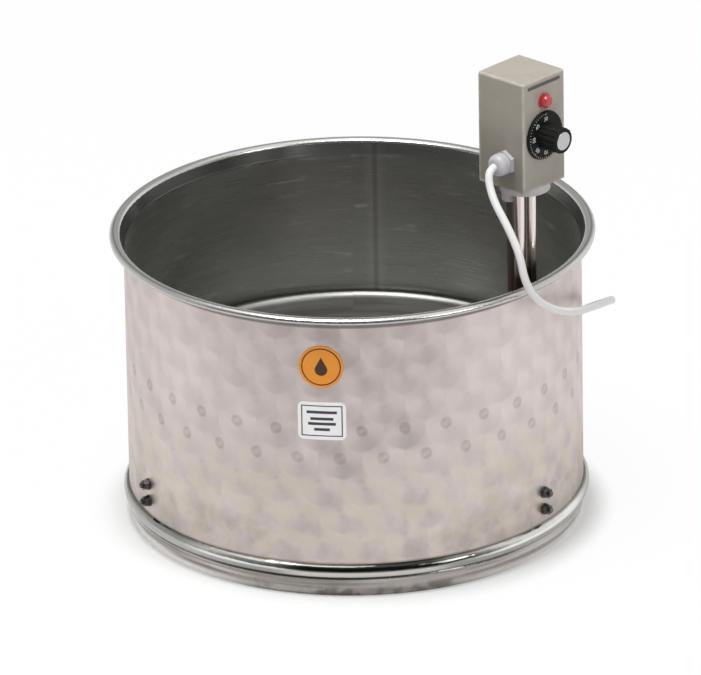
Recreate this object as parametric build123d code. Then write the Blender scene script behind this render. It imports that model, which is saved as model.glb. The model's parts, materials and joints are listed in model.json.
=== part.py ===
# Honey liquefier: an open stainless vessel on a foot ring, a strainer basket that stands inside it
# on three screwed brackets, and an electric immersion heater that stands in the basket.
# Millimetres, +Z up, origin on the ground under the middle of the vessel.
# The front of the vessel looks along -Y, and +X is to its right.
import math
import os

from build123d import *

# Vessel shell: rolled sheet, open at both ends, with a curled rim
shell_radius = 190.0
shell_wall = 1.0
rim_height = 251.0
rim_overhang = 11.6
rim_bead_width = 9.2
rim_bead_height = 6.6
rim_flare = 9.0
curl_opening = 2.4

# Foot ring: a turned-in foot, a tapered band and a bead that holds the shell
foot_radius = 188.7
foot_hem = 8.0
ring_wall = 1.5
shell_seat = 16.0
band_bulge = 1.6
ring_groove = 0.6
ring_bead = 12.5
ring_bead_bulge = 4.6
ring_play = 0.05

# Brackets inside the shell, and the bolts that hold them
bracket_count = 3
bracket_turn = -5.3
bracket_wall = 2.0
bracket_width = 26.0
bracket_reach = 30.0
bracket_foot = 33.0
shelf_height = 62.0
bolt_heights = (40.3, 55.2)
bolt_diameter = 5.0
bolt_play = 0.15
bolt_head_diameter = 9.0
bolt_head_height = 2.6
bolt_end = 2.6
washer_diameter = 10.0
washer_wall = 1.0
bracket_nut_flats = 8.0
bracket_nut_height = 4.0
bracket_play = 0.05

# Strainer basket and its perforated floor
basket_wall = 1.0
basket_clearance = 1.2
basket_lip = 11.0
basket_lip_top = 116.3
basket_lift_gap = 0.3
basket_shelf = 14.0
strainer_sheet = 0.8
strainer_play = 0.4
strainer_hole = 11.0
strainer_pitch = 17.6

# Heating element: two legs and two flat rings of one tube
tube_diameter = 8.5
coil_margin = 10.05
ring_step = 40.0
ring_gap_angle = 12.0
coil_gap = 0.3
leg_wall = 1.75
leg_bend = 15.0
leg_inside = 14.0
stem_turn = -29.4
pin_diameter = 4.0
pin_length = 9.0

# Control head on top of the legs
box_bottom = 322.8
box_width = 51.0
box_depth = 49.5
box_height = 95.7
box_wall = 2.5
box_edge = 2.8
box_top_edge = 2.6
head_turn = 46.9
stem_right = 0.0
stem_front = 2.25
cover_wall = 2.5
cover_edge = 0.6
cover_play = 0.1
gasket_wall = 1.0
lip_wall = 1.5
post_size = 6.0
post_length = 12.0
post_low = 12.0
post_drop = 9.3
cover_screw_diameter = 3.0
cover_screw_head = 5.6
cover_screw_head_height = 2.2
cover_screw_length = 12.5
screw_play = 0.05

# Collar under the head, with the spigot and ring nut that hold the head on
collar_diameter = 42.0
collar_height = 7.8
collar_edge = 1.0
boss_diameter = 14.0
boss_height = 18.4
spigot_height = 8.0
ring_nut_gap = 1.0
ring_nut_wall = 3.0
ring_nut_height = 4.0
ring_nut_slot = 4.0
fit_play = 0.05

# Thermostat with its feeler
knob_drop = 29.7
knob_right = -1.5
thermostat_side_gap = 1.0
thermostat_depth = 27.0
thermostat_low_gap = 4.1
thermostat_top_gap = 5.2
bushing_diameter = 9.0
bushing_reach = 1.6
panel_nut_flats = 13.0
panel_nut_height = 1.5
shaft_diameter = 6.0
shaft_play = 0.05
shaft_inside = 5.5
shaft_bore = 6.0
feeler_set_back = 11.2
feeler_set_left = 4.6
feeler_tube_diameter = 6.0
feeler_tube_wall = 0.75
feeler_tube_end = 80.0
feeler_tube_inside = 10.0
bulb_diameter = 4.2
bulb_length = 60.0
capillary_diameter = 2.0
capillary_bend = 3.0
capillary_landing = 3.0

# Knob: a dial skirt, a fluted grip and a bright cap
skirt_diameter = 41.6
skirt_height = 2.4
skirt_bevel = 0.8
skirt_gap = 0.6
skirt_recess_diameter = 22.0
skirt_recess = 1.3
grip_diameter = 21.7
grip_taper = 0.6
knob_reach = 22.0
flute_count = 14
flute_radius = 1.7
flute_depth = 0.7
cap_diameter = 15.4
cap_wall = 1.2
cap_inset = 0.9
shaft_in_grip = 13.0

# Pilot lamp
lamp_right = -0.5
lamp_drop = 20.5
lamp_flange_diameter = 13.5
lamp_flange = 1.5
lamp_lens_diameter = 11.0
lamp_lens_reach = 6.5
lamp_body_diameter = 9.8
lamp_body_length = 20.0
lamp_nut_flats = 13.0
lamp_nut_height = 3.0

# Cable gland
gland_front = 4.75
gland_height = 23.4
gland_thread = 15.8
gland_flats = 19.0
gland_flange = 4.0
gland_throat = 5.0
gland_locknut_flats = 20.0
gland_locknut_height = 4.0
gland_nut_diameter = 18.5
gland_mouth_diameter = 11.0
gland_reach = 14.0
gland_seal_diameter = 9.0
gland_neck_wall = 2.4
gland_nut_gap = 0.3

# Terminal block and earth screw
block_width = 30.0
block_depth = 12.0
block_height = 15.0
block_headroom = 12.8
block_ways = 3
block_hole = 4.2
earth_screw_height = 20.0
earth_screw_diameter = 4.0
earth_screw_head = 7.0
earth_screw_head_height = 2.6
earth_screw_bite = 2.0

# Wires inside the head
wire_diameter = 2.2
wire_bend = 1.6
wire_room = 4.0
wire_bite = 5.0
core_spread = 1.7
core_straight = 3.0

# Mains cord, put-away coil, tie and plug
cord_diameter = 6.5
bend_share = 0.45
cord_inside = 9.0
coil_middle = (15.0, 276.0)
coil_lift = 1.6
coil_outer_radius = 43.0
coil_step = 7.0
coil_half_turns = 5
tie_wall = 1.2
tie_width = 8.0
tie_gap = 0.2
tie_slack = 1.0
tail_run = 28.0
tail_bend = 40.0
gap_step = 1.5
plug_diameter = 37.0
plug_length = 34.0
plug_neck_diameter = 17.0
plug_neck = 16.0
plug_waist_diameter = 30.0
plug_face_edge = 2.0
sleeve_length = 24.0
sleeve_mouth_diameter = 9.0
pin_spacing = 19.0
plug_pin_diameter = 4.8
plug_pin_length = 19.0
earth_notch_width = 9.0
earth_notch_depth = 3.0
earth_notch_length = 24.0

# What follows from the sizes above
basket_floor = shelf_height + basket_lift_gap
basket_outer = shell_radius - shell_wall - basket_clearance
basket_inner = basket_outer - basket_lip
strainer_top = basket_floor + basket_wall + strainer_sheet
coil_radius = basket_inner - coil_margin - tube_diameter / 2
coil_height = strainer_top + coil_gap + tube_diameter / 2
stem_offset = max(abs(stem_right), abs(stem_front))
ring_nut_diameter = min(box_width, box_depth) - 2 * (box_wall + stem_offset + ring_nut_gap)
spigot_diameter = ring_nut_diameter - 2 * ring_nut_wall
leg_spacing = spigot_diameter - tube_diameter - 2 * leg_wall
leg_top = box_bottom + leg_inside
lamp_height = box_height - lamp_drop
knob_height = lamp_height - knob_drop
post_high = box_height - post_drop
block_low = box_height - box_wall - block_headroom - block_height
thermostat_width = box_width - 2 * (box_wall + gland_locknut_height + thermostat_side_gap)
thermostat_low = leg_inside + pin_length + thermostat_low_gap
thermostat_top = lamp_height - lamp_nut_flats / math.sqrt(3) - thermostat_top_gap

OUT = "parts"
UP = Vector(0, 0, 1)


def polar(radius, degrees, height=0.0):
    turn = math.radians(degrees)
    return Vector(radius * math.cos(turn), radius * math.sin(turn), height)


def turned(*profiles):
    """Revolve flat profiles, drawn as radius and height, round the vertical axis."""
    face = Sketch() + list(profiles)
    return revolve(Plane.XZ * face, Axis.Z)


def outline(*points):
    return make_face(Polyline(*points, close=True))


def disc(diameter, low, high):
    return Pos(0, 0, low) * extrude(Circle(diameter / 2), high - low)


def hexagon(flats, low, high):
    profile = RegularPolygon(flats / 2, 6, major_radius=False)
    return Pos(0, 0, low) * extrude(profile, high - low)


def arc(start, middle, end):
    return Edge.make_three_point_arc(start, middle, end)


def swept_rod(edges, diameter):
    """Sweep a round section along joined lines and tangent arcs."""
    path = Wire(edges)
    section = Plane(path @ 0, z_dir=path % 0) * Circle(diameter / 2)
    return sweep(section, path=path)


def save(node, *solids):
    pieces = []
    for solid in solids:
        pieces += solid.solids()
    shape = pieces[0] if len(pieces) == 1 else Compound(pieces)
    export_step(shape, f"{OUT}/{node}.step")
    print(f"{node}: {len(pieces)} solid(s), {sum(p.volume for p in pieces):.0f} mm3")


# Vessel


def curled_edge(outer_radius, top, width, height, sheet):
    """Section of a sheet edge curled outwards, open at the inner underside where the edge turns in."""
    middle = Pos(outer_radius - width / 2, top - height / 2)
    curl = middle * (Ellipse(width / 2, height / 2) - Ellipse(width / 2 - sheet, height / 2 - sheet))
    mouth_low = top - height - curl_opening
    mouth = outline(
        (outer_radius - width + sheet, top - height / 2),
        (outer_radius - width / 2, top - height + sheet),
        (outer_radius - width / 2, mouth_low),
        (outer_radius - width - curl_opening, mouth_low),
        (outer_radius - width - curl_opening, top - height / 2),
    )
    return curl - mouth


def vessel_shell():
    inner = shell_radius - shell_wall
    curl_outer = shell_radius + rim_overhang
    curl_inner = curl_outer - rim_bead_width
    curl_middle = rim_height - rim_bead_height / 2
    flare_foot = curl_middle - rim_flare
    wall = outline(
        (inner, shell_seat),
        (shell_radius, shell_seat),
        (shell_radius, flare_foot),
        (curl_inner + shell_wall, curl_middle),
        (curl_inner, curl_middle),
        (inner, flare_foot),
    )
    curl = curled_edge(curl_outer, rim_height, rim_bead_width, rim_bead_height, shell_wall)
    shell = turned(wall, curl)
    for turn, height in bolt_places():
        shell -= bolt_frame(turn, height) * disc(bolt_hole, inner - shell_wall, shell_radius + shell_wall)
    return shell


def foot_ring():
    socket = shell_radius + ring_play
    ledge = shell_radius - shell_wall - ring_wall
    band_top = shell_seat - ring_groove
    band_radius = shell_radius + band_bulge
    bead_top = shell_seat + ring_bead
    section = make_face(
        [
            Polyline(
                (socket, bead_top),
                (socket, shell_seat),
                (ledge, shell_seat),
                (ledge, shell_seat - ring_wall),
                (socket, shell_seat - 2 * ring_wall),
                (foot_radius - ring_wall, ring_wall),
                (foot_radius - foot_hem, ring_wall),
                (foot_radius - foot_hem, 0),
                (foot_radius, 0),
                (band_radius, band_top),
                (band_radius - ring_groove, shell_seat + ring_groove),
            ),
            ThreePointArc(
                (band_radius - ring_groove, shell_seat + ring_groove),
                (shell_radius + ring_bead_bulge, shell_seat + ring_bead / 2),
                (socket, bead_top),
            ),
        ]
    )
    return turned(section)


# Brackets and their bolts

bolt_hole = bolt_diameter + 2 * bolt_play


def bolt_places():
    for index in range(bracket_count):
        for height in bolt_heights:
            yield bracket_turn - 90 + (index + 0.5) * 360 / bracket_count, height


def bolt_frame(turn, height):
    """A frame on the vessel's axis whose Z runs straight outwards at this turn and height."""
    return Pos(0, 0, height) * Rot(0, 0, turn) * Rot(0, 90, 0)


def support_bracket(turn):
    outer = shell_radius - shell_wall - bracket_play
    section = outline(
        (outer, bracket_foot),
        (outer, shelf_height),
        (outer - bracket_reach, shelf_height),
        (outer - bracket_reach, shelf_height - bracket_wall),
        (outer - bracket_wall, shelf_height - bracket_wall),
        (outer - bracket_wall, bracket_foot),
    )
    spread = math.degrees(bracket_width / outer)
    bracket = Rot(0, 0, turn - spread / 2) * revolve(Plane.XZ * section, Axis.Z, spread)
    for height in bolt_heights:
        bracket -= bolt_frame(turn, height) * disc(bolt_hole, outer - 2 * bracket_wall, shell_radius)
    return bracket


def bracket_bolt():
    face = shell_radius - shell_wall - bracket_play - bracket_wall
    seat = math.sqrt(face**2 - (bolt_head_diameter / 2) ** 2)
    tip = shell_radius + washer_wall + bracket_nut_height + bolt_end
    head = disc(bolt_head_diameter, seat - bolt_head_height, seat)
    head = fillet(head.edges().sort_by(Axis.Z)[0], bolt_head_height / 2)
    shank = disc(bolt_diameter, seat, tip)
    shank = chamfer(shank.edges().sort_by(Axis.Z)[-1], bolt_diameter / 8)
    return head + shank


def bracket_washer():
    return disc(washer_diameter, shell_radius, shell_radius + washer_wall) - disc(
        bolt_hole, shell_radius - washer_wall, shell_radius + 2 * washer_wall
    )


def bracket_nut():
    low = shell_radius + washer_wall
    high = low + bracket_nut_height
    return hexagon(bracket_nut_flats, low, high) - disc(bolt_diameter + 2 * fit_play, low, high)


def build_vessel():
    save("vessel_shell", vessel_shell())
    save("foot_ring", foot_ring())
    turns = sorted({turn for turn, height in bolt_places()})
    save("support_brackets", *[support_bracket(turn) for turn in turns])
    places = [bolt_frame(turn, height) for turn, height in bolt_places()]
    save("bracket_bolts", *[place * bracket_bolt() for place in places])
    save("bracket_washers", *[place * bracket_washer() for place in places])
    save("bracket_nuts", *[place * bracket_nut() for place in places])


# Strainer basket


def strainer_basket():
    wall = outline(
        (basket_inner - basket_shelf, basket_floor),
        (basket_inner + basket_wall, basket_floor),
        (basket_inner + basket_wall, basket_lip_top - basket_lip / 2),
        (basket_inner, basket_lip_top - basket_lip / 2),
        (basket_inner, basket_floor + basket_wall),
        (basket_inner - basket_shelf, basket_floor + basket_wall),
    )
    lip = curled_edge(basket_outer, basket_lip_top, basket_lip, basket_lip, basket_wall)
    return turned(wall, lip)


def strainer_floor():
    """One sheet with square holes in a grid, left whole where it lies on the basket's shelf."""
    radius = basket_inner - strainer_play
    clear = basket_inner - basket_shelf - strainer_hole
    steps = int(clear / strainer_pitch)
    spots = []
    for across in range(-steps, steps + 1):
        for along in range(-steps, steps + 1):
            spot = (across * strainer_pitch, along * strainer_pitch)
            if math.hypot(*spot) < clear:
                spots.append(spot)
    sheet = Circle(radius) - Locations(*spots) * Rectangle(strainer_hole, strainer_hole)
    print(f"strainer holes: {len(spots)}")
    return Pos(0, 0, basket_floor + basket_wall) * extrude(sheet, strainer_sheet)


def build_strainer():
    save("strainer_basket", strainer_basket())
    save("strainer_floor", strainer_floor())


# Heating element

lead_angle = math.degrees(
    math.asin(leg_spacing / 2 / math.hypot(coil_radius, leg_bend)) + math.atan2(leg_bend, coil_radius)
)
lead_point = polar(coil_radius, lead_angle)
lead_back = polar(leg_bend, lead_angle - 90)
stem_radius = lead_point.X + lead_back.X
stem_frame = Rot(0, 0, stem_turn) * Pos(stem_radius, 0, 0)


def element_side(side):
    """Edges from the top of one leg round to the middle of the inner ring, in the stem's direction."""
    inner_radius = coil_radius - ring_step
    last = 180 - ring_gap_angle
    ahead = polar(1, side * (lead_angle + 90))
    leg = Vector(stem_radius, side * leg_spacing / 2, 0)
    bend_top = leg + UP * (coil_height + leg_bend)
    bend_middle = bend_top + ahead * leg_bend
    bend_low = polar(coil_radius, side * lead_angle, coil_height)
    quarter = math.sqrt(0.5) * leg_bend
    middle_radius = coil_radius - ring_step / 2
    hairpin = polar(middle_radius, side * last, coil_height) + polar(ring_step / 2, side * (last + 90))
    return [
        Edge.make_line(leg + UP * leg_top, bend_top),
        arc(bend_top, bend_middle - ahead * quarter - UP * quarter, bend_low),
        arc(
            bend_low,
            polar(coil_radius, side * (lead_angle + last) / 2, coil_height),
            polar(coil_radius, side * last, coil_height),
        ),
        arc(
            polar(coil_radius, side * last, coil_height),
            hairpin,
            polar(inner_radius, side * last, coil_height),
        ),
        arc(
            polar(inner_radius, side * last, coil_height),
            polar(inner_radius, side * last / 2, coil_height),
            polar(inner_radius, 0, coil_height),
        ),
    ]


def heating_element():
    other_way = [edge.reversed() for edge in reversed(element_side(-1))]
    return Rot(0, 0, stem_turn) * swept_rod(element_side(1) + other_way, tube_diameter)


def leg_spots():
    return [Pos(0, side * leg_spacing / 2, 0) for side in (-1, 1)]


def heater_pin():
    return disc(pin_diameter, leg_top, leg_top + pin_length)


def heater_collar():
    """A flange under the box with a boss for the feeler, and the spigot that passes into the box."""
    low = box_bottom - collar_height
    high = box_bottom + spigot_height
    collar = disc(collar_diameter, low, box_bottom)
    collar = fillet(collar.edges().sort_by(Axis.Z)[0], collar_edge)
    boss = disc(boss_diameter, box_bottom - boss_height, box_bottom)
    boss = fillet(boss.edges().sort_by(Axis.Z)[0], collar_edge)
    collar += feeler_spot() * boss
    collar += disc(spigot_diameter, box_bottom, high)
    for spot in leg_spots():
        collar -= spot * disc(tube_diameter + 2 * fit_play, box_bottom - boss_height, high)
    feeler_hole = disc(feeler_tube_diameter + 2 * fit_play, box_bottom - boss_height, high)
    return collar - feeler_spot() * feeler_hole


def ring_nut():
    low = box_bottom + box_wall
    high = low + ring_nut_height
    nut = disc(ring_nut_diameter, low, high) - disc(spigot_diameter + 2 * fit_play, low, high)
    for turn in range(0, 360, 90):
        slot = Box(ring_nut_slot, ring_nut_slot, ring_nut_height)
        nut -= Rot(0, 0, turn) * Pos(ring_nut_diameter / 2, 0, low + ring_nut_height / 2) * slot
    return nut


def feeler_spot():
    return Pos(-feeler_set_back, -feeler_set_left, 0)


def feeler_tube():
    top = box_bottom + feeler_tube_inside
    bore = feeler_tube_diameter - 2 * feeler_tube_wall
    tube = disc(feeler_tube_diameter, feeler_tube_end, top)
    return tube - disc(bore, feeler_tube_end + feeler_tube_wall, top)


def feeler():
    """The bulb at the bottom of its tube, with the capillary that leads up to the thermostat."""
    spot = (head_frame.inverse() * stem_frame * feeler_spot()).position
    low = feeler_tube_end + feeler_tube_wall - box_bottom
    landing = front + box_wall + thermostat_depth - capillary_landing
    bulb = Pos(spot.X, spot.Y, 0) * disc(bulb_diameter, low, low + bulb_length)
    capillary = FilletPolyline(
        Vector(spot.X, spot.Y, low + bulb_length - capillary_bend),
        Vector(spot.X, spot.Y, feeler_tube_inside + capillary_bend),
        Vector(spot.X, landing, thermostat_low - 2 * capillary_bend),
        Vector(spot.X, landing, thermostat_low),
        radius=capillary_bend,
    )
    return bulb + swept_rod(capillary.edges(), capillary_diameter)


def build_heater():
    save("heating_element", heating_element())
    save("heater_pins", *[stem_frame * spot * heater_pin() for spot in leg_spots()])
    save("heater_collar", stem_frame * heater_collar())
    save("collar_ring_nut", stem_frame * ring_nut())
    save("feeler_tube", stem_frame * feeler_spot() * feeler_tube())
    save("feeler_bulb", head_frame * feeler())


# Control head, in its own frame: X to the right of the knob's face, -Y out of that face

head_frame = (
    Pos(*(stem_frame.position + UP * box_bottom)) * Rot(0, 0, head_turn) * Pos(-stem_right, stem_front, 0)
)
front = -box_depth / 2
back = box_depth / 2
housing_back = back - cover_wall - gasket_wall
half_width = box_width / 2
cover_width = box_width - 2 * (lip_wall + cover_play)
cover_height = box_height - 2 * (lip_wall + cover_play)
bushing_hole = bushing_diameter + 2 * fit_play
lamp_hole = lamp_body_diameter + 2 * fit_play
gland_hole = gland_thread + 2 * fit_play
screw_hole = cover_screw_diameter + 2 * screw_play


def on_front(right, height):
    """A frame on the knob's face, with Z out of the face."""
    return Pos(right, front, height) * Rot(90, 0, 0)


def on_left(towards_front, height):
    """A frame on the gland's face, with Z out of the face."""
    return Pos(-half_width, -towards_front, height) * Rot(0, -90, 0)


def post_spots():
    for side in (-1, 1):
        for height in (post_low, post_high):
            yield side * (half_width - box_wall - post_size / 2), height


def upright_block(width, depth, height, middle_y):
    return Pos(0, middle_y, height / 2) * Box(width, depth, height)


def control_housing():
    """A box with rounded edges, open at the back, where a step in its walls takes the cover."""
    body = upright_block(box_width, box_depth, box_height, 0)
    body = fillet(body.edges().filter_by(Axis.Z).sort_by(Axis.Y)[:2], box_edge)
    top = body.faces().sort_by(Axis.Z)[-1]
    rounded = [edge for edge in top.edges() if edge.center().Y < back - screw_play]
    body = fillet(rounded, box_top_edge)
    body = fillet(body.faces().sort_by(Axis.Y)[-1].edges(), cover_edge)
    depth = housing_back - front - box_wall
    hollow = Box(box_width - 2 * box_wall, depth, box_height - 2 * box_wall)
    body -= Pos(0, housing_back - depth / 2, box_height / 2) * hollow
    step = Box(box_width - 2 * lip_wall, back - housing_back, box_height - 2 * lip_wall)
    body -= Pos(0, (housing_back + back) / 2, box_height / 2) * step
    for across, height in post_spots():
        post = Box(post_size, post_length, post_size)
        body += Pos(across, housing_back - post_length / 2, height) * post
        hole = disc(screw_hole, 0, cover_screw_length)
        body -= Pos(across, housing_back, height) * Rot(90, 0, 0) * hole
    body -= on_front(knob_right, knob_height) * disc(bushing_hole, -2 * box_wall, box_wall)
    body -= on_front(lamp_right, lamp_height) * disc(lamp_hole, -2 * box_wall, box_wall)
    body -= on_left(gland_front, gland_height) * disc(gland_hole, -2 * box_wall, box_wall)
    spigot_hole = spigot_diameter + 2 * fit_play
    body -= Pos(stem_right, -stem_front, 0) * disc(spigot_hole, -box_wall, 2 * box_wall)
    earth = Pos(half_width - box_wall, 0, earth_screw_height) * Rot(0, 90, 0)
    return body - earth * disc(earth_screw_diameter + 2 * fit_play, -box_wall, earth_screw_bite)


def cover_gasket():
    seal = Rectangle(cover_width, cover_height)
    seal -= Rectangle(box_width - 2 * box_wall, box_height - 2 * box_wall)
    tabs = [Pos(x, z - box_height / 2) * Rectangle(post_size, post_size) for x, z in post_spots()]
    holes = [Pos(x, z - box_height / 2) * Circle(screw_hole / 2) for x, z in post_spots()]
    seal = seal + tabs - holes
    return Pos(0, housing_back + gasket_wall, box_height / 2) * Rot(90, 0, 0) * extrude(seal, gasket_wall)


def back_cover():
    plate = Box(cover_width, cover_wall, cover_height)
    plate = Pos(0, back - cover_wall / 2, box_height / 2) * plate
    plate = fillet(plate.faces().sort_by(Axis.Y)[-1].edges(), cover_edge)
    for across, height in post_spots():
        plate -= Pos(across, back, height) * Rot(90, 0, 0) * disc(screw_hole, 0, cover_wall)
    return plate


def cover_screw():
    head = disc(cover_screw_head, 0, cover_screw_head_height)
    head = fillet(head.edges().sort_by(Axis.Z)[-1], cover_screw_head_height / 2)
    return head + disc(cover_screw_diameter, -cover_screw_length, 0)


def thermostat_body():
    middle = front + box_wall + thermostat_depth / 2
    height = thermostat_top - thermostat_low
    body = upright_block(thermostat_width, thermostat_depth, height, middle)
    body = Pos(0, 0, thermostat_low) * body
    face = on_front(knob_right, knob_height)
    body += face * disc(bushing_diameter, -box_wall, bushing_reach)
    return body - face * disc(shaft_diameter + 2 * shaft_play, -box_wall - shaft_bore, bushing_reach)


def panel_nut():
    return hexagon(panel_nut_flats, 0, panel_nut_height) - disc(bushing_hole, 0, panel_nut_height)


def thermostat_shaft():
    return disc(shaft_diameter, -box_wall - shaft_inside, skirt_gap + skirt_height + shaft_in_grip)


def dial_skirt():
    low = skirt_gap
    high = skirt_gap + skirt_height
    rim = skirt_diameter / 2
    section = outline(
        (shaft_diameter / 2 + fit_play, low + skirt_recess),
        (skirt_recess_diameter / 2, low + skirt_recess),
        (skirt_recess_diameter / 2, low),
        (rim, low),
        (rim, low + skirt_bevel),
        (rim - skirt_bevel, high),
        (shaft_diameter / 2 + fit_play, high),
    )
    return turned(section)


def knob_grip():
    low = skirt_gap + skirt_height
    grip = Pos(0, 0, low) * extrude(Circle(grip_diameter / 2), knob_reach - low)
    edge = grip.edges().sort_by(Axis.Z)[-1]
    grip = chamfer(edge, grip_taper)
    for index in range(flute_count):
        flute = disc(2 * flute_radius, low + skirt_bevel, knob_reach)
        spread = grip_diameter / 2 + flute_radius - flute_depth
        grip -= Rot(0, 0, index * 360 / flute_count) * Pos(spread, 0, 0) * flute
    grip -= disc(shaft_diameter + 2 * fit_play, low, low + shaft_in_grip + fit_play)
    return grip - disc(cap_diameter + 2 * fit_play, knob_reach - cap_inset, knob_reach)


def knob_cap():
    low = knob_reach - cap_inset
    cap = disc(cap_diameter, low, low + cap_wall)
    return fillet(cap.edges().sort_by(Axis.Z)[-1], cap_wall - cap_inset)


def lamp_lens():
    flange = disc(lamp_flange_diameter, 0, lamp_flange)
    lens = disc(lamp_lens_diameter, lamp_flange, lamp_lens_reach)
    lens = fillet(lens.edges().sort_by(Axis.Z)[-1], lamp_lens_diameter / 4)
    return flange + lens


def lamp_body():
    return disc(lamp_body_diameter, -lamp_body_length, 0)


def lamp_nut():
    low = -box_wall - lamp_nut_height
    return hexagon(lamp_nut_flats, low, -box_wall) - disc(lamp_hole, low, -box_wall)


def gland_body():
    inside = -box_wall - gland_locknut_height
    neck = gland_flange + gland_throat
    body = disc(gland_thread, inside, 0)
    body += hexagon(gland_flats, 0, gland_flange)
    body += disc(gland_seal_diameter + 2 * gland_neck_wall, gland_flange, neck)
    body -= disc(gland_seal_diameter + 2 * fit_play, 0, neck)
    return body - disc(cord_diameter + 2 * fit_play, inside, neck)


def gland_locknut():
    low = -box_wall - gland_locknut_height
    return hexagon(gland_locknut_flats, low, -box_wall) - disc(gland_hole, low, -box_wall)


def gland_seal():
    high = gland_flange + gland_throat
    return disc(gland_seal_diameter, 0, high) - disc(cord_diameter + 2 * fit_play, 0, high)


def gland_nut():
    low = gland_flange + gland_nut_gap
    shoulder = gland_flange + gland_throat + fit_play
    neck = gland_seal_diameter / 2 + gland_neck_wall + fit_play
    bore = cord_diameter / 2 + fit_play
    section = make_face(
        [
            Polyline(
                (gland_mouth_diameter / 2, gland_reach),
                (bore, gland_reach),
                (bore, shoulder),
                (neck, shoulder),
                (neck, low),
                (gland_nut_diameter / 2, low),
                (gland_nut_diameter / 2, shoulder),
            ),
            TangentArc(
                (gland_nut_diameter / 2, shoulder),
                (gland_mouth_diameter / 2, gland_reach),
                tangent=(0, 1),
            ),
        ]
    )
    return turned(section)


def terminal_block():
    middle = back - cover_wall - block_depth / 2
    block = Pos(0, 0, block_low) * upright_block(block_width, block_depth, block_height, middle)
    for way in range(block_ways):
        across = (way - (block_ways - 1) / 2) * block_width / block_ways
        block -= Pos(across, middle, block_low) * disc(block_hole, 0, block_height)
    return block


def earth_screw():
    head = disc(earth_screw_head, -earth_screw_head_height, 0)
    head = fillet(head.edges().sort_by(Axis.Z)[0], earth_screw_head_height / 2)
    return head + disc(earth_screw_diameter, 0, earth_screw_bite)


def wire(*points):
    return swept_rod(FilletPolyline(*points, radius=wire_bend).edges(), wire_diameter)


def cord_cores():
    """The cord's three cores: two up to the terminal block, one across to the earth screw."""
    start = Vector(-half_width + cord_inside, -gland_front, gland_height)
    straight = Vector(core_straight, 0, 0)
    behind = front + box_wall + thermostat_depth + wire_room
    upper = start + UP * core_spread
    side = polar(core_spread, -30)
    rear = start + Vector(0, side.X, side.Y)
    near = start + Vector(0, -side.X, side.Y)
    way, middle = way_spot(-1), way_spot(0)
    screw = Vector(half_width - box_wall - earth_screw_head_height, 0, earth_screw_height)
    live = wire(
        upper,
        upper + straight,
        Vector(upper.X + core_straight, behind, upper.Z),
        Vector(way.X, way.Y, way.Z - 2 * wire_room),
        way + UP * wire_bite,
    )
    neutral = wire(
        rear,
        rear + straight,
        Vector(rear.X + core_straight, middle.Y, rear.Z),
        Vector(middle.X, middle.Y, rear.Z + 3 * wire_room),
        middle + UP * wire_bite,
    )
    earth = wire(
        near,
        near + straight,
        near + 2 * straight - Vector(0, wire_room, 0),
        Vector(screw.X - 3 * core_straight, near.Y - wire_room, near.Z),
        screw - straight,
        screw,
    )
    return [live, neutral, earth]


def way_spot(way):
    """The underside of one way of the terminal block."""
    return Vector(way * block_width / block_ways, back - cover_wall - block_depth / 2, block_low)


def heater_wires():
    """From the heater's pins to the thermostat's underside and to the terminal block."""
    left, right = [(head_frame.inverse() * stem_frame * spot).position for spot in leg_spots()]
    pin_top = leg_inside + pin_length
    height = (pin_top + thermostat_low + wire_diameter / 4) / 2
    way = way_spot(1)
    switched = Pos(left.X, left.Y, 0) * disc(wire_diameter, pin_top, thermostat_low)
    returned = wire(
        way + UP * wire_bite,
        Vector(way.X, way.Y, height),
        Vector(right.X, right.Y, height),
        Vector(right.X, right.Y, pin_top),
    )
    return [switched, returned]


def lamp_wires():
    """From the block over to the thermostat, and from the lamp to the thermostat and the block."""
    top = UP * (block_height - wire_bite)
    over = block_low + block_height + wire_room
    lamp = Vector(lamp_right, front + lamp_body_length, lamp_height)
    apart = Vector(lamp_body_diameter / 4, 0, 0)
    way, middle = way_spot(-1), way_spot(0)
    inlet = wire(
        way + top,
        Vector(way.X, way.Y, over),
        Vector(way.X, lamp.Y + wire_room, over),
        Vector(way.X, lamp.Y + wire_room, thermostat_top),
    )
    first = wire(
        lamp - apart,
        lamp - apart + Vector(0, wire_room, 0),
        Vector(lamp.X - apart.X, lamp.Y + wire_room, thermostat_top),
    )
    second = wire(
        lamp + apart,
        lamp + apart + Vector(0, wire_room, 0),
        Vector(lamp.X + apart.X, lamp.Y + wire_room, over),
        Vector(middle.X, middle.Y, over),
        middle + top,
    )
    return [inlet, first, second]


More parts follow.
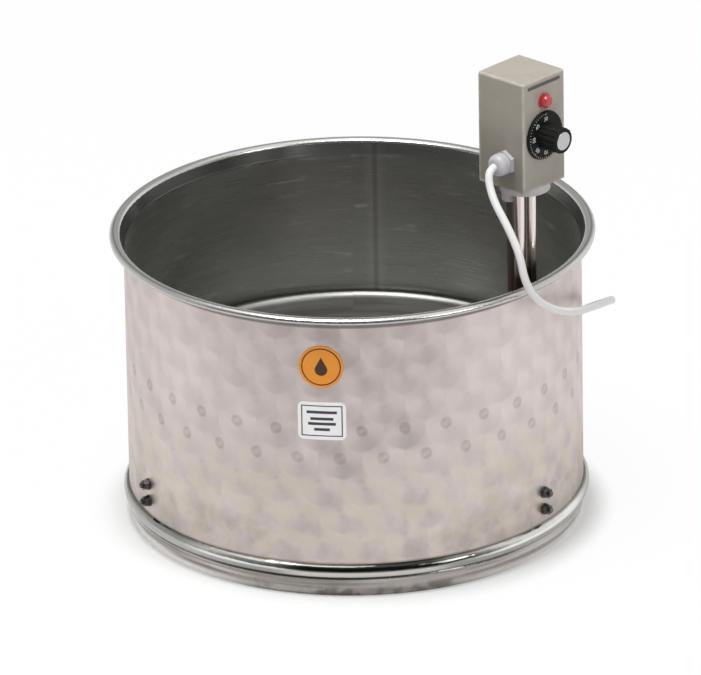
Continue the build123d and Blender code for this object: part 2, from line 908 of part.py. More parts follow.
def build_head():
    knob = head_frame * on_front(knob_right, knob_height)
    lamp = head_frame * on_front(lamp_right, lamp_height)
    gland = head_frame * on_left(gland_front, gland_height)
    cover_back = [Pos(x, back, z) * Rot(-90, 0, 0) for x, z in post_spots()]
    earth = Pos(half_width - box_wall, 0, earth_screw_height) * Rot(0, 90, 0)
    save("control_housing", head_frame * control_housing())
    save("cover_gasket", head_frame * cover_gasket())
    save("back_cover", head_frame * back_cover())
    save("cover_screws", *[head_frame * spot * cover_screw() for spot in cover_back])
    save("thermostat_body", head_frame * thermostat_body())
    save("thermostat_nut", knob * panel_nut())
    save("thermostat_shaft", knob * thermostat_shaft())
    save("dial_skirt", knob * dial_skirt())
    save("knob_grip", knob * knob_grip())
    save("knob_cap", knob * knob_cap())
    save("lamp_lens", lamp * lamp_lens())
    save("lamp_body", lamp * lamp_body())
    save("lamp_nut", lamp * lamp_nut())
    save("gland_body", gland * gland_body())
    save("gland_locknut", gland * gland_locknut())
    save("gland_seal", gland * gland_seal())
    save("gland_nut", gland * gland_nut())
    save("cord_inlet", gland * disc(cord_diameter, -cord_inside, gland_reach))
    save("terminal_block", head_frame * terminal_block())
    save("earth_screw", head_frame * earth * earth_screw())
    wires = cord_cores() + heater_wires() + lamp_wires()
    save("inner_wires", *[head_frame * piece for piece in wires])


# Mains cord

coil_low = coil_lift + cord_diameter / 2
coil_high = coil_low + coil_step
plug_height = plug_diameter / 2


def coil_spot(towards_vessel, height):
    """A point on the line through the coil's middle that runs straight at the vessel."""
    return Vector(coil_middle[0], coil_middle[1] - towards_vessel, height)


def cord_route():
    """Points from the gland down past the rim, round the vessel's right side and to the coil."""
    face = head_frame * on_left(gland_front, gland_height)
    mouth = (face * Pos(0, 0, gland_reach)).position
    away = (face * Pos(0, 0, gland_reach + 1)).position - mouth
    start = coil_spot(coil_outer_radius, coil_low)
    return [
        mouth,
        mouth + away * 7.5,
        Vector(111.8, -120.4, 335.7),
        Vector(114.2, -131.8, 323.3),
        Vector(118.6, -141.5, 311.2),
        Vector(124.0, -149.6, 298.4),
        Vector(129.5, -155.5, 284.4),
        Vector(135.5, -158.2, 269.2),
        Vector(142.2, -157.0, 256.1),
        Vector(151.1, -151.8, 243.6),
        Vector(165.2, -137.4, 229.3),
        Vector(181.3, -112.8, 217.3),
        Vector(197.8, -77.6, 207.3),
        Vector(212.6, -34.0, 194.6),
        Vector(215.6, 10.0, 176.2),
        Vector(208.6, 54.0, 155.5),
        Vector(193.0, 97.0, 131.5),
        Vector(168.5, 137.0, 100.0),
        Vector(140.0, 169.5, 66.0),
        Vector(110.0, 195.0, 35.0),
        Vector(82.0, 215.0, 15.0),
        start + Vector(40.0, -4.0, 1.4),
        start + Vector(17.0, 0.0, 0.0),
        start,
    ]


def route_radii(points):
    """The largest tangent arc that each corner's runs allow. The end runs serve one corner only."""
    runs = [after - before for before, after in zip(points, points[1:])]
    spare = [bend_share * run.length for run in runs]
    spare[0] *= 2
    spare[-1] *= 2
    radii = []
    for corner, (first, second) in enumerate(zip(runs, runs[1:])):
        half_turn = math.radians(first.get_angle(second)) / 2
        radii.append(min(spare[corner], spare[corner + 1]) / math.tan(half_turn))
    return radii


def free_cord_path():
    points = cord_route()
    radii = route_radii(points)
    print("cord radii:", " ".join(f"{radius:.0f}" for radius in radii))
    return FilletPolyline(*points, radius=radii).edges()


def coil_edges():
    """Half turns that spiral in, climb one layer and spiral out again, and the tail up to the plug."""
    radii = [coil_outer_radius - turn * coil_step / 2 for turn in range(coil_half_turns + 1)]
    radii += radii[-2:0:-1]
    place = coil_outer_radius
    height = coil_low
    edges = []
    for turn, radius in enumerate(radii):
        side = -1 if turn % 2 == 0 else 1
        start = coil_spot(place, height)
        place += side * 2 * radius
        if turn == coil_half_turns:
            height = coil_high
        end = coil_spot(place, height)
        bulge = Vector(side * (end - start).length / 2, 0, 0)
        edges.append(arc(start, (start + end) / 2 + bulge, end))
    return edges + tail_edges(coil_spot(place, height))


def tail_edges(start):
    """A straight run over the lower turns, an easy rise to the plug's axis and a short straight end."""
    rise = plug_height - start.Z
    angle = math.acos(1 - rise / 2 / tail_bend)
    reach = tail_bend * math.sin(angle)
    half = Vector(-tail_bend * math.sin(angle / 2), 0, tail_bend * (1 - math.cos(angle / 2)))
    foot = start - Vector(tail_run, 0, 0)
    middle = foot + Vector(-reach, 0, rise / 2)
    top = foot + Vector(-2 * reach, 0, rise)
    return [
        Edge.make_line(start, foot),
        arc(foot, foot + half, middle),
        arc(middle, top - half, top),
        Edge.make_line(top, top - Vector(cord_diameter, 0, 0)),
    ]


def least_gap(edges):
    """The smallest clear gap between stretches of the tube that are well apart along it."""
    path = Wire(edges)
    count = int(path.length / gap_step)
    points = [path @ (index / count) for index in range(count + 1)]
    apart = int(3 * cord_diameter / gap_step)
    gaps = []
    for index, point in enumerate(points):
        gaps += [(point - other).length for other in points[index + apart :]]
    return min(gaps) - cord_diameter


def measured_tube(edges):
    path = Wire(edges)
    tube = swept_rod(edges, cord_diameter)
    section = math.pi * cord_diameter**2 / 4
    share = tube.volume / section / path.length
    print(f"length {path.length:.0f} mm, volume over section times length {share:.4f}")
    return tube


def cord_tie():
    """A band round the turns on the side of the coil that all of its half turns pass."""
    inner_radius = coil_outer_radius - (coil_half_turns - 1) * coil_step / 2 - tie_slack
    across = coil_outer_radius - inner_radius + cord_diameter + 2 * tie_gap
    tall = coil_high - coil_low + cord_diameter + 2 * tie_gap
    band = Rectangle(across + 2 * tie_wall, tall + 2 * tie_wall) - Rectangle(across, tall)
    middle = Vector(
        coil_middle[0] - (coil_outer_radius + inner_radius) / 2,
        coil_middle[1] + (coil_step + tie_width) / 2,
        (coil_low + coil_high) / 2,
    )
    return Pos(*middle) * Rot(90, 0, 0) * extrude(band, tie_width)


def plug_frame(end):
    """A frame at the end of the tail, with Z along the plug towards its pins."""
    return Pos(*end) * Rot(0, -90, 0)


def plug_sleeve():
    section = outline(
        (0, 0),
        (sleeve_mouth_diameter / 2, 0),
        (plug_neck_diameter / 2, sleeve_length),
        (0, sleeve_length),
    )
    return turned(section)


def plug_body():
    low = sleeve_length
    face = low + plug_neck + plug_length
    section = make_face(
        [
            Polyline(
                (plug_neck_diameter / 2, low),
                (0, low),
                (0, face),
                (plug_diameter / 2 - plug_face_edge, face),
                (plug_diameter / 2, face - plug_face_edge),
                (plug_diameter / 2, low + plug_neck),
            ),
            ThreePointArc(
                (plug_diameter / 2, low + plug_neck),
                (plug_waist_diameter / 2, low + plug_neck / 2),
                (plug_neck_diameter / 2, low),
            ),
        ]
    )
    body = turned(section)
    for side in (-1, 1):
        notch = Box(earth_notch_depth, earth_notch_width, earth_notch_length)
        spot = (side * (plug_diameter - earth_notch_depth) / 2, 0, face - earth_notch_length / 2)
        body -= Pos(*spot) * notch
    return body


def plug_pin():
    low = sleeve_length + plug_neck + plug_length
    pin = disc(plug_pin_diameter, low, low + plug_pin_length)
    return fillet(pin.edges().sort_by(Axis.Z)[-1], plug_pin_diameter / 4)


def build_cord():
    coil = coil_edges()
    end = Wire(coil) @ 1
    print(f"coil's least gap to itself {least_gap(coil):.2f} mm")
    save("cord_free", measured_tube(free_cord_path()))
    save("cord_coil", measured_tube(coil))
    save("cord_tie", cord_tie())
    plug = plug_frame(end)
    save("plug_sleeve", plug * plug_sleeve())
    save("plug_body", plug * plug_body())
    pins = [plug * Pos(0, side * pin_spacing / 2, 0) * plug_pin() for side in (-1, 1)]
    save("plug_pins", *pins)


def main():
    os.makedirs(OUT, exist_ok=True)
    build_vessel()
    build_strainer()
    build_heater()
    build_head()
    build_cord()


main()
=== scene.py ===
# %% [markdown]
# A honey liquefier: an open stainless vessel on a polished foot ring, with a strainer inside
# and an electric heater standing in it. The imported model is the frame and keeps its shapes.
# This script gives it a camera, soft light and finishes, and adds the mains cord and the
# small printed pieces that have no thickness worth modelling as solids.

# %% Load the frame
import json
import math

import bmesh
import bpy
from mathutils import Matrix, Vector


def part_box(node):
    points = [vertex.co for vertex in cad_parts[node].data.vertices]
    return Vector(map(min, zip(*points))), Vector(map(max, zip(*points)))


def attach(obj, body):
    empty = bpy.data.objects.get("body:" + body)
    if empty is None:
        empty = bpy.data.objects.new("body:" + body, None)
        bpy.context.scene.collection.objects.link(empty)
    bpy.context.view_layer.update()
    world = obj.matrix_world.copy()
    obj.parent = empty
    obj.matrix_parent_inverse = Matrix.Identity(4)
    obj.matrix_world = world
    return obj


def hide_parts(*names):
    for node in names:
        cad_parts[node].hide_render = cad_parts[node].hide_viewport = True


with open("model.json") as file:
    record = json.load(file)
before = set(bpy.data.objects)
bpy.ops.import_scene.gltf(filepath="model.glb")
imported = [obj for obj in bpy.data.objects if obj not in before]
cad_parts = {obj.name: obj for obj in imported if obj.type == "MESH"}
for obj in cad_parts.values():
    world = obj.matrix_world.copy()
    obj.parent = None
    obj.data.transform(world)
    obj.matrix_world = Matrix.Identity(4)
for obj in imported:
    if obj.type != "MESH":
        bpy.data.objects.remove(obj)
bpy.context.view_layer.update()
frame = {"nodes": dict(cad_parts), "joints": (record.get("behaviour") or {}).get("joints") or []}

mm_per_metre = 1000.0

scene = bpy.context.scene
scene.view_settings.view_transform = "Standard"

# %% [markdown]
# The photograph was taken from far off with a long lens, about 23 degrees above the floor and
# very slightly rolled. The camera could be placed by eye, but the ellipses of the rim, the wall
# and the foot give it exactly, so the fitted numbers are used as they are.

# %% Camera
image_width = 701
focal_pixels = 10991
camera_place = Vector((0.0, -8.4232, 3.7217))
camera_target = Vector((-0.0030, 0.0, 0.1504))
camera_roll = math.radians(-0.98)

lens = bpy.data.cameras.new("camera")
lens.sensor_fit = "HORIZONTAL"
lens.sensor_width = 36.0
lens.lens = focal_pixels * lens.sensor_width / image_width
lens.clip_end = 60.0
camera = bpy.data.objects.new("camera", lens)
scene.collection.objects.link(camera)
level = (camera_target - camera_place).to_track_quat("-Z", "Y").to_matrix().to_4x4()
camera.matrix_world = Matrix.Translation(camera_place) @ level @ Matrix.Rotation(camera_roll, 4, "Z")
scene.camera = camera
print("lens", round(lens.lens, 1), "mm")

# %% [markdown]
# Every finish here is a sum of soft patterns, and node trees are hard to read when each step of
# a sum takes several lines. So a wire stands for the output of a node, and plus, minus, times and
# divide on wires add math nodes. A finish then reads like the formula that it is.

# %% Wires and sums
class Wire:
    """The output of a node. Arithmetic with wires adds math nodes to their tree."""

    def __init__(self, socket):
        self.socket = socket
        self.tree = socket.id_data

    def __add__(self, other):
        return math_node("ADD", self, other)

    def __sub__(self, other):
        return math_node("SUBTRACT", self, other)

    def __rsub__(self, other):
        return math_node("SUBTRACT", other, self)

    def __mul__(self, other):
        return math_node("MULTIPLY", self, other)

    def __truediv__(self, other):
        return math_node("DIVIDE", self, other)

    def __abs__(self):
        return math_node("ABSOLUTE", self)


def connect(value, socket):
    """Lead a wire into a socket, or set the socket to a plain value."""
    if isinstance(value, Wire):
        value.tree.links.new(value.socket, socket)
    else:
        socket.default_value = value


def math_node(operation, *values):
    """Add a math node for some values, of which at least one is a wire."""
    tree = next(value.tree for value in values if isinstance(value, Wire))
    node = tree.nodes.new("ShaderNodeMath")
    node.operation = operation
    for value, socket in zip(values, node.inputs):
        connect(value, socket)
    return Wire(node.outputs[0])


def larger(first, second):
    return math_node("MAXIMUM", first, second)


def smaller(first, second):
    return math_node("MINIMUM", first, second)


def distance(across, up):
    """How far a point is from the middle, from its two offsets."""
    return math_node("SQRT", across * across + up * up)


print("sums", [helper.__name__ for helper in (connect, math_node, larger, smaller, distance)])

# %% [markdown]
# Real surfaces have few hard borders. Dirt, wear and polish fade in over some millimetres, and
# hardly any shade is even. A ColorRamp could be set by hand for each, but a soft step, a noise and
# a mix, each with its numbers in the call, say the same in one line.

# %% Steps, noises and mixes
def soft_step(value, start, end, low=0.0, high=1.0):
    """Low before the start and high after the end, with a smooth change between them."""
    node = value.tree.nodes.new("ShaderNodeMapRange")
    node.interpolation_type = "SMOOTHSTEP"
    connect(value, node.inputs["Value"])
    for label, number in (("From Min", start), ("From Max", end), ("To Min", low), ("To Max", high)):
        node.inputs[label].default_value = number
    return Wire(node.outputs[0])


def span(value, start, full, fading, end):
    """1 between two soft edges: it rises from start to full and falls from fading to end."""
    return soft_step(value, start, full) * soft_step(value, end, fading)


def noise(place, scale, detail=2.0, roughness=0.5):
    """A cloudy pattern about the value 0.5, with so many lumps to the metre."""
    node = place.tree.nodes.new("ShaderNodeTexNoise")
    for label, value in (("Vector", place), ("Scale", scale), ("Detail", detail), ("Roughness", roughness)):
        connect(value, node.inputs[label])
    return Wire(node.outputs[0])


def blend(share, first, second):
    """A colour between two colours."""
    node = share.tree.nodes.new("ShaderNodeMix")
    node.data_type = "RGBA"
    connect(share, node.inputs["Factor"])
    for socket, colour in zip(node.inputs[6:8], (first, second)):
        connect(colour if isinstance(colour, Wire) else (*colour, 1.0), socket)
    return Wire(node.outputs[2])


def between(share, first, second):
    """A plain value between two values."""
    node = share.tree.nodes.new("ShaderNodeMix")
    for socket, value in zip(node.inputs[0:1] + node.inputs[2:4], (share, first, second)):
        connect(value, socket)
    return Wire(node.outputs[0])


def axes_of(place):
    """The x, y and z of a place."""
    node = place.tree.nodes.new("ShaderNodeSeparateXYZ")
    connect(place, node.inputs[0])
    return [Wire(output) for output in node.outputs]


print("patterns", [helper.__name__ for helper in (soft_step, span, noise, blend, between, axes_of)])

# %% [markdown]
# The studio has a soft light overhead. The walls above the horizon are dark, most of all behind
# the camera, and paler at both sides, which is why the inside of the vessel is dark and the
# beads have dark and bright lines. Real walls could be modelled, but they would also throw light.
# A world can look one way in the metal and light the scene another way, because Light Path tells
# who looks at it.

# %% World
sky_light = 0.42


def who_looks(tree):
    """1 for rays from the camera, and 1 for rays from mirror-like and clear pieces."""
    rays = tree.nodes.new("ShaderNodeLightPath").outputs
    by_mirror = larger(Wire(rays["Is Glossy Ray"]), Wire(rays["Is Transmission Ray"]))
    return Wire(rays["Is Camera Ray"]), by_mirror


world = bpy.data.worlds.new("studio")
world.use_nodes = True
scene.world = world
tree = world.node_tree
tree.nodes.clear()
sky = tree.nodes.new("ShaderNodeBackground")
sky.inputs["Color"].default_value = (1.0, 0.99, 0.975, 1.0)
tree.links.new(sky.outputs[0], tree.nodes.new("ShaderNodeOutputWorld").inputs[0])

by_camera, by_mirror = who_looks(tree)
x, y, z = axes_of(Wire(tree.nodes.new("ShaderNodeTexCoord").outputs["Generated"]))
horizon = soft_step(z, 0.0, 0.13, 1.0, 0.28)
overhead = soft_step(z, 0.72, 0.88, 0.0, 0.75)
camera_side = soft_step(y, -0.20, -0.80, 1.0, 0.35)
far_side = soft_step(y, 0.30, 0.85, 1.0, 1.6)
right_side = soft_step(x, 0.30, 0.75, 0.0, 1.8)
left_side = soft_step(x, -0.35, -0.80, 0.0, 1.1)
beside = (right_side + left_side) * soft_step(y, -0.40, 0.05) + 1.0
room = smaller(horizon * (camera_side * far_side * beside) + overhead, 1.0)
strength = by_mirror * (room - sky_light) + by_camera * (1.0 - sky_light) + sky_light
connect(strength, sky.inputs["Strength"])
print("world light", sky_light, "nodes", len(tree.nodes))

# %% [markdown]
# The floor is white paper. It could be lit until it is white, but that would wash out the steel.
# So the camera sees it glow, up to the shade close round the foot, and the mirror-like metal sees
# some of that glow, while the lamps stay at a plain level and the shadow stays. Inside the foot
# it keeps dark, because little light gets under the strainer.

# %% Paper of the floor
shade_x, shade_y = -0.003, -0.006
shade_inner, shade_outer = 0.192, 0.222
dark_inner, dark_outer = 0.178, 0.190

paper = bpy.data.materials.new("floor_paper")
paper.use_nodes = True
tree = paper.node_tree
tree.nodes.clear()
matt = tree.nodes.new("ShaderNodeBsdfDiffuse")
matt.inputs["Color"].default_value = (0.84, 0.84, 0.84, 1.0)
white = tree.nodes.new("ShaderNodeEmission")
lifted = tree.nodes.new("ShaderNodeMixShader")
tree.links.new(matt.outputs[0], lifted.inputs[1])
tree.links.new(white.outputs[0], lifted.inputs[2])
tree.links.new(lifted.outputs[0], tree.nodes.new("ShaderNodeOutputMaterial").inputs[0])

by_camera, by_mirror = who_looks(tree)
x, y, _ = axes_of(Wire(tree.nodes.new("ShaderNodeTexCoord").outputs["Object"]))
from_foot = distance(x - shade_x, y - shade_y)
whiteness = soft_step(from_foot, shade_inner, shade_outer, 0.22, 0.95)
whiteness = whiteness * soft_step(from_foot, dark_inner, dark_outer)
connect(by_camera * whiteness + by_mirror * 0.35, lifted.inputs[0])
away_from_camera = soft_step(y + x * 0.30, -0.90, -0.20)
connect(by_camera + by_mirror * away_from_camera, white.inputs["Strength"])
print("shade round the foot", shade_inner, "to", shade_outer, "m")

# %% [markdown]
# The sheet of paper itself is one wide square, so that no edge of it comes into the picture. It
# could be added with an operator of the editor, but a bmesh needs no selection and no mode, so
# every new piece of this scene is made from one and sits at the origin.

# %% Floor
floor_reach = 15.0


def new_piece(name, mesh_builder, *materials):
    """An object at the origin whose mesh comes from a finished bmesh."""
    mesh = bpy.data.meshes.new(name)
    mesh_builder.to_mesh(mesh)
    mesh_builder.free()
    for material in materials:
        mesh.materials.append(material)
    piece = bpy.data.objects.new(name, mesh)
    scene.collection.objects.link(piece)
    return piece


ground = bmesh.new()
bmesh.ops.create_grid(ground, x_segments=1, y_segments=1, size=floor_reach)
new_piece("floor", ground, paper)
print("floor", 2 * floor_reach, "m wide")

# %% [markdown]
# Two large round lamps light the vessel: a strong one above it, a little to the left, and a weak
# one at the right, which lifts the shaded side. Small lamps would throw hard shadows, and the
# photograph has only soft ones, so the lamps are broad discs.

# %% Lamps
lit_spot = (0.0, 0.0, 0.15)
lamp_width = 1.6


def soft_lamp(name, place, watts):
    lamp = bpy.data.lights.new(name, "AREA")
    lamp.shape = "DISK"
    lamp.size = lamp_width
    lamp.energy = watts
    holder = bpy.data.objects.new(name, lamp)
    aim = (Vector(lit_spot) - Vector(place)).to_track_quat("-Z", "Y")
    holder.matrix_world = Matrix.Translation(place) @ aim.to_matrix().to_4x4()
    scene.collection.objects.link(holder)
    print(name, watts, "W")


soft_lamp("key_lamp", (-0.5, -0.55, 3.15), 80.0)
soft_lamp("fill_lamp", (2.4, -2.2, 2.2), 27.0)

# %% [markdown]
# The mains cord is 1.84 m of white round cord. It leaves the gland, falls past the rim, goes
# round the right side of the vessel and ends behind it in a tied coil, with the plug beside it.
# Down to the floor its route is a list of given points, which follows the photograph as far as
# it shows. The coil could be such a list too, but it is regular, so a loop lays half turns
# between the places where they cross a line through its middle. The points are in millimetres.

# %% Route of the cord
coil_x, coil_y = 15.0, 276.0
coil_low, coil_high = 4.85, 11.85
crossings = (43.0, -43.0, 36.0, -36.0, 29.0, -29.0, 22.0, -36.0, 29.0, -43.0, 36.0)
climb_turn = 5
points_a_half_turn = 8
stretch = 1 / math.cos(math.pi / points_a_half_turn / 2)
plug_height = 18.5

route = [
    (116.7, -110.5, 346.2), (112.0, -115.5, 344.7), (112.4, -121.6, 334.0), (116.6, -132.0, 323.0),
    (124.1, -141.5, 311.2), (131.0, -149.6, 298.4), (136.5, -155.5, 284.4), (139.0, -158.2, 269.2),
    (143.7, -157.0, 256.1), (151.1, -151.8, 243.6), (165.2, -137.4, 229.3), (181.3, -112.8, 217.3),
    (197.8, -77.6, 207.3), (212.6, -34.0, 194.6), (215.6, 10.0, 176.2), (208.6, 54.0, 155.5),
    (193.0, 97.0, 131.5), (168.5, 137.0, 100.0), (140.0, 169.5, 66.0), (110.0, 195.0, 35.0),
    (82.0, 215.0, 15.0), (55.0, 229.0, 6.25), (32.0, 233.0, 4.85),
]
coil = []
for turn, (start, end) in enumerate(zip(crossings, crossings[1:])):
    middle, reach = (start + end) / 2, (start - end) / 2 * stretch
    side = -abs(reach) if turn % 2 == 0 else abs(reach)
    for step in range(points_a_half_turn):
        angle = math.pi * step / points_a_half_turn
        climbed = step / points_a_half_turn if turn == climb_turn else float(turn > climb_turn)
        coil.append((coil_x + side * math.sin(angle), coil_y - middle - reach * math.cos(angle),
                     coil_low + climbed * (coil_high - coil_low)))
lead_y = coil_y - crossings[-1]
lead = [(coil_x, lead_y, coil_high), (-5.0, lead_y, coil_high), (-21.3, lead_y, coil_high),
        (-36.6, lead_y, plug_height), (-51.4, lead_y, plug_height)]
cord_points = [Vector(point) / mm_per_metre for point in route + coil + lead]
print("cord points", len(cord_points), "half turns", len(crossings) - 1)

# %% [markdown]
# A mesh tube would show facets, so the cord is one NURBS spline with a round bevel, and the
# points of its route are the control points. Blender takes a curve's box from its control points
# and their radius, so that radius is small and the bevel makes up for it.

# %% Cord
cord_diameter = 0.0065
point_radius = 0.0022

flex = bpy.data.curves.new("cord", "CURVE")
flex.dimensions = "3D"
flex.bevel_depth = cord_diameter / 2 / point_radius
flex.bevel_resolution = 5
flex.use_fill_caps = True
spline = flex.splines.new("NURBS")
spline.points.add(len(cord_points) - 1)
for point, place in zip(spline.points, cord_points):
    point.co = (*place, 1.0)
    point.radius = point_radius
spline.order_u = 3
spline.use_endpoint_u = True
spline.resolution_u = 6
cord = bpy.data.objects.new("cord", flex)
scene.collection.objects.link(cord)
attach(cord, "heater")
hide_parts("cord_free", "cord_coil")

# %% [markdown]
# Effects that several finishes share are node groups: brushing in rings round the vessel,
# smudges and dust from handling, and the fine grain of a moulded surface. They could be copied
# into each material, but a group is built once. Each puts out plain values, which a material then
# turns into colour, roughness or height.

# %% Helpers for groups
def new_group(name, inputs, outputs):
    """A node group that reads a Place and some plain values. Its inputs come back as wires."""
    group = bpy.data.node_groups.new(name, "ShaderNodeTree")
    group.interface.new_socket(name="Place", in_out="INPUT", socket_type="NodeSocketVector")
    for label, value in inputs.items():
        socket = group.interface.new_socket(name=label, in_out="INPUT", socket_type="NodeSocketFloat")
        socket.default_value = value
    for label in outputs:
        group.interface.new_socket(name=label, in_out="OUTPUT", socket_type="NodeSocketFloat")
    entry = group.nodes.new("NodeGroupInput")
    wires = [Wire(entry.outputs[label]) for label in ("Place", *inputs)]
    return group, wires, group.nodes.new("NodeGroupOutput").inputs


def place_group(group, place, **values):
    """Put a group into the material that a place belongs to. Its outputs come back by name."""
    node = place.tree.nodes.new("ShaderNodeGroup")
    node.node_tree = group
    connect(place, node.inputs["Place"])
    for label, value in values.items():
        connect(value, node.inputs[label.replace("_", " ")])
    return {output.name: Wire(output) for output in node.outputs}


print("groups", new_group.__name__, place_group.__name__)

# %% [markdown]
# The vessel is round, so most patterns on it follow the angle round its axis, the distance from
# the axis and the height. A UV map would give the same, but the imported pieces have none. These
# helpers take a place apart, turn it, and put a new one together.

# %% Helpers for places
def as_place(x, y, z):
    """A place put together from its axes, of which the first is a wire."""
    node = x.tree.nodes.new("ShaderNodeCombineXYZ")
    for socket, value in zip(node.inputs, (x, y, z)):
        connect(value, socket)
    return Wire(node.outputs[0])


def turned(place, degrees):
    """A place turned about the axis of the vessel."""
    node = place.tree.nodes.new("ShaderNodeVectorRotate")
    node.rotation_type = "Z_AXIS"
    node.inputs["Angle"].default_value = math.radians(degrees)
    connect(place, node.inputs["Vector"])
    return Wire(node.outputs[0])


def round_the_axis(place):
    """Angle from the front in radians, distance from the axis and height."""
    x, y, z = axes_of(place)
    return math_node("ARCTAN2", x, y * -1.0), distance(x, y), z


print("places", [helper.__name__ for helper in (as_place, turned, round_the_axis)])

# %% [markdown]
# Brushing runs in rings: noise that is stretched along the angle and fine across it gives the
# lines, and a coarser one the streaks. Smudges and dust are two noises cut to patches and specks.
# Grain and cloud are a fine and a broad noise. Scans of real metal would need images, and these
# need none.

# %% Shared effects
ring_brushing, (place, lines_per_mm), leave = new_group(
    "ring_brushing", {"Lines per mm": 1.2}, ["Lines", "Streaks"])
angle, reach, height = round_the_axis(place)
across = (height + reach) * mm_per_metre
fine = as_place(angle * 3.0, 0.0, across * lines_per_mm)
broad = as_place(angle * 1.6, 3.0, across * 0.16)
connect(noise(fine, 1.0, detail=3.0, roughness=0.6), leave["Lines"])
connect(noise(broad, 1.0), leave["Streaks"])

handling, (place,), leave = new_group("handling", {}, ["Smudge", "Dust"])
smears = noise(place, 34.0, detail=4.0, roughness=0.62)
specks = noise(place, 900.0, detail=1.0)
connect(soft_step(smears, 0.42, 0.68), leave["Smudge"])
connect(soft_step(specks, 0.60, 0.74), leave["Dust"])

moulding, (place, grain_per_mm), leave = new_group(
    "moulding", {"Grain per mm": 2.0}, ["Grain", "Cloud"])
connect(noise(place, grain_per_mm * mm_per_metre), leave["Grain"])
connect(noise(place, 60.0, detail=3.0, roughness=0.55), leave["Cloud"])
print("groups", [group.name for group in (ring_brushing, handling, moulding)])

# %% [markdown]
# Each finish is one Principled shader whose colour, roughness and bump follow the Object
# coordinates, so a pattern stays where it is on the piece. Images would need an unwrapped mesh,
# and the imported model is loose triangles. Three helpers start a finish, give it its values and
# put it on pieces of the model.

# %% Helpers for finishes
def new_finish(name, metallic=0.0, **constants):
    """A material with a bare Principled shader, and the place that drives it."""
    finish = bpy.data.materials.new(name)
    finish.use_nodes = True
    tree = finish.node_tree
    tree.nodes.clear()
    skin = tree.nodes.new("ShaderNodeBsdfPrincipled")
    tree.links.new(skin.outputs[0], tree.nodes.new("ShaderNodeOutputMaterial").inputs[0])
    skin.inputs["Metallic"].default_value = metallic
    for label, value in constants.items():
        skin.inputs[label.replace("_", " ")].default_value = value
    return finish, skin, Wire(tree.nodes.new("ShaderNodeTexCoord").outputs["Object"])


def coat(skin, colour, roughness, relief=None, relief_mm=0.0):
    """Give a shader its colour and roughness, and a relief of some millimetres as a bump."""
    connect(colour, skin.inputs["Base Color"])
    connect(roughness, skin.inputs["Roughness"])
    if relief is not None:
        bump = relief.tree.nodes.new("ShaderNodeBump")
        bump.inputs["Distance"].default_value = relief_mm / mm_per_metre
        connect(relief, bump.inputs["Height"])
        connect(Wire(bump.outputs[0]), skin.inputs["Normal"])


def dress(finish, *names):
    """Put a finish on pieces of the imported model."""
    for name in names:
        for slot in frame["nodes"][name].material_slots:
            slot.material = finish
    print(finish.name, "on", ", ".join(names))


print("finishes", [helper.__name__ for helper in (new_finish, coat, dress)])

# %% [markdown]
# The wall is rolled from marbled stainless sheet: rows of round polishing marks, each with its
# own shade and a fan of glare that leans a little. The glare is painted into the colour, as a
# painted sheen. An image could carry them, but it would blur close up. Here they are worked out
# on the unrolled sheet, in millimetres along and up, as two grids half a pitch apart. The angles
# given here are degrees from the front.

# %% Grids of the marbled sheet
wall_radius = 190.0
seam_angle = 174.0
mark_pitch, mark_row, mark_radius = 35.65, 24.3, 18.8
mark_blur = 2.2
spot_row_height, spot_row_angle = 123.3, -3.9
fan_lean, fan_heart = 0.45, 3.0
shade_seed = 7.0

marbling, (place,), leave = new_group("marbling", {}, ["Mark", "Dish", "Spot", "Painted_glare"])
angle, _, height = round_the_axis(turned(place, 180.0 - seam_angle))
first_mark = math.radians(spot_row_angle + 180.0 - seam_angle)
waver = noise(place, 70.0) - 0.5
along = (angle - first_mark) * wall_radius / mark_pitch + waver * 0.08
up = (height * mm_per_metre - spot_row_height) / mark_row + waver * 0.10


def mark_grid(shift):
    """Distance to the nearest mark of one grid, height over its centre, its shade and painted glare."""
    column = along - shift / 2
    row = (up - shift) / 2.0
    column_number = math_node("ROUND", column)
    row_number = math_node("ROUND", row)
    aside = (column - column_number) * mark_pitch
    above = (row - row_number) * (2 * mark_row)
    shade = marbling.nodes.new("ShaderNodeTexWhiteNoise")
    shade.noise_dimensions = "3D"
    connect(as_place(column_number, row_number, shift + shade_seed), shade.inputs["Vector"])
    lean = aside + above * fan_lean
    rise = above - aside * fan_lean
    fan = (lean * lean - rise * rise) / (lean * lean + rise * rise + fan_heart ** 2)
    return distance(aside, above), above, Wire(shade.outputs["Value"]), fan


away_a, above_a, shade_a, fan_a = mark_grid(0.0)
away_b, above_b, shade_b, fan_b = mark_grid(1.0)
print("marks round the wall", round(2 * math.pi * wall_radius / mark_pitch, 1))

# %% [markdown]
# Each mark laps over the one below, like scales, because the sheet was marbled row by row. Plain
# circles would cross each other. So of two marks that cover a point, the one above wins, and all
# values of the sheet are picked from it. A dark spot with a paler eye is left at each centre.

# %% Marks of the marbled sheet
covers_a = soft_step(away_a, mark_radius + mark_blur, mark_radius - mark_blur)
b_is_out = soft_step(away_b, mark_radius - mark_blur, mark_radius + mark_blur)
a_is_above = soft_step(above_a - above_b, 2 * mark_blur, -2 * mark_blur)
take_a = covers_a * larger(b_is_out, a_is_above)


def pick(of_a, of_b):
    """The value of the mark that lies on top."""
    return take_a * of_a + (1.0 - take_a) * of_b


from_centre = pick(away_a, away_b) / mark_radius
nearest = smaller(away_a, away_b)
connect(pick(shade_a, shade_b), leave["Mark"])
connect(from_centre * from_centre, leave["Dish"])
spot_disc = soft_step(nearest, 6.0, 4.0)
spot_eye = soft_step(nearest, 0.5, 3.6, 0.6, 1.0)
connect(spot_disc * spot_eye, leave["Spot"])
connect(pick(fan_a, fan_b), leave["Painted_glare"])
print("marbling nodes", len(marbling.nodes))
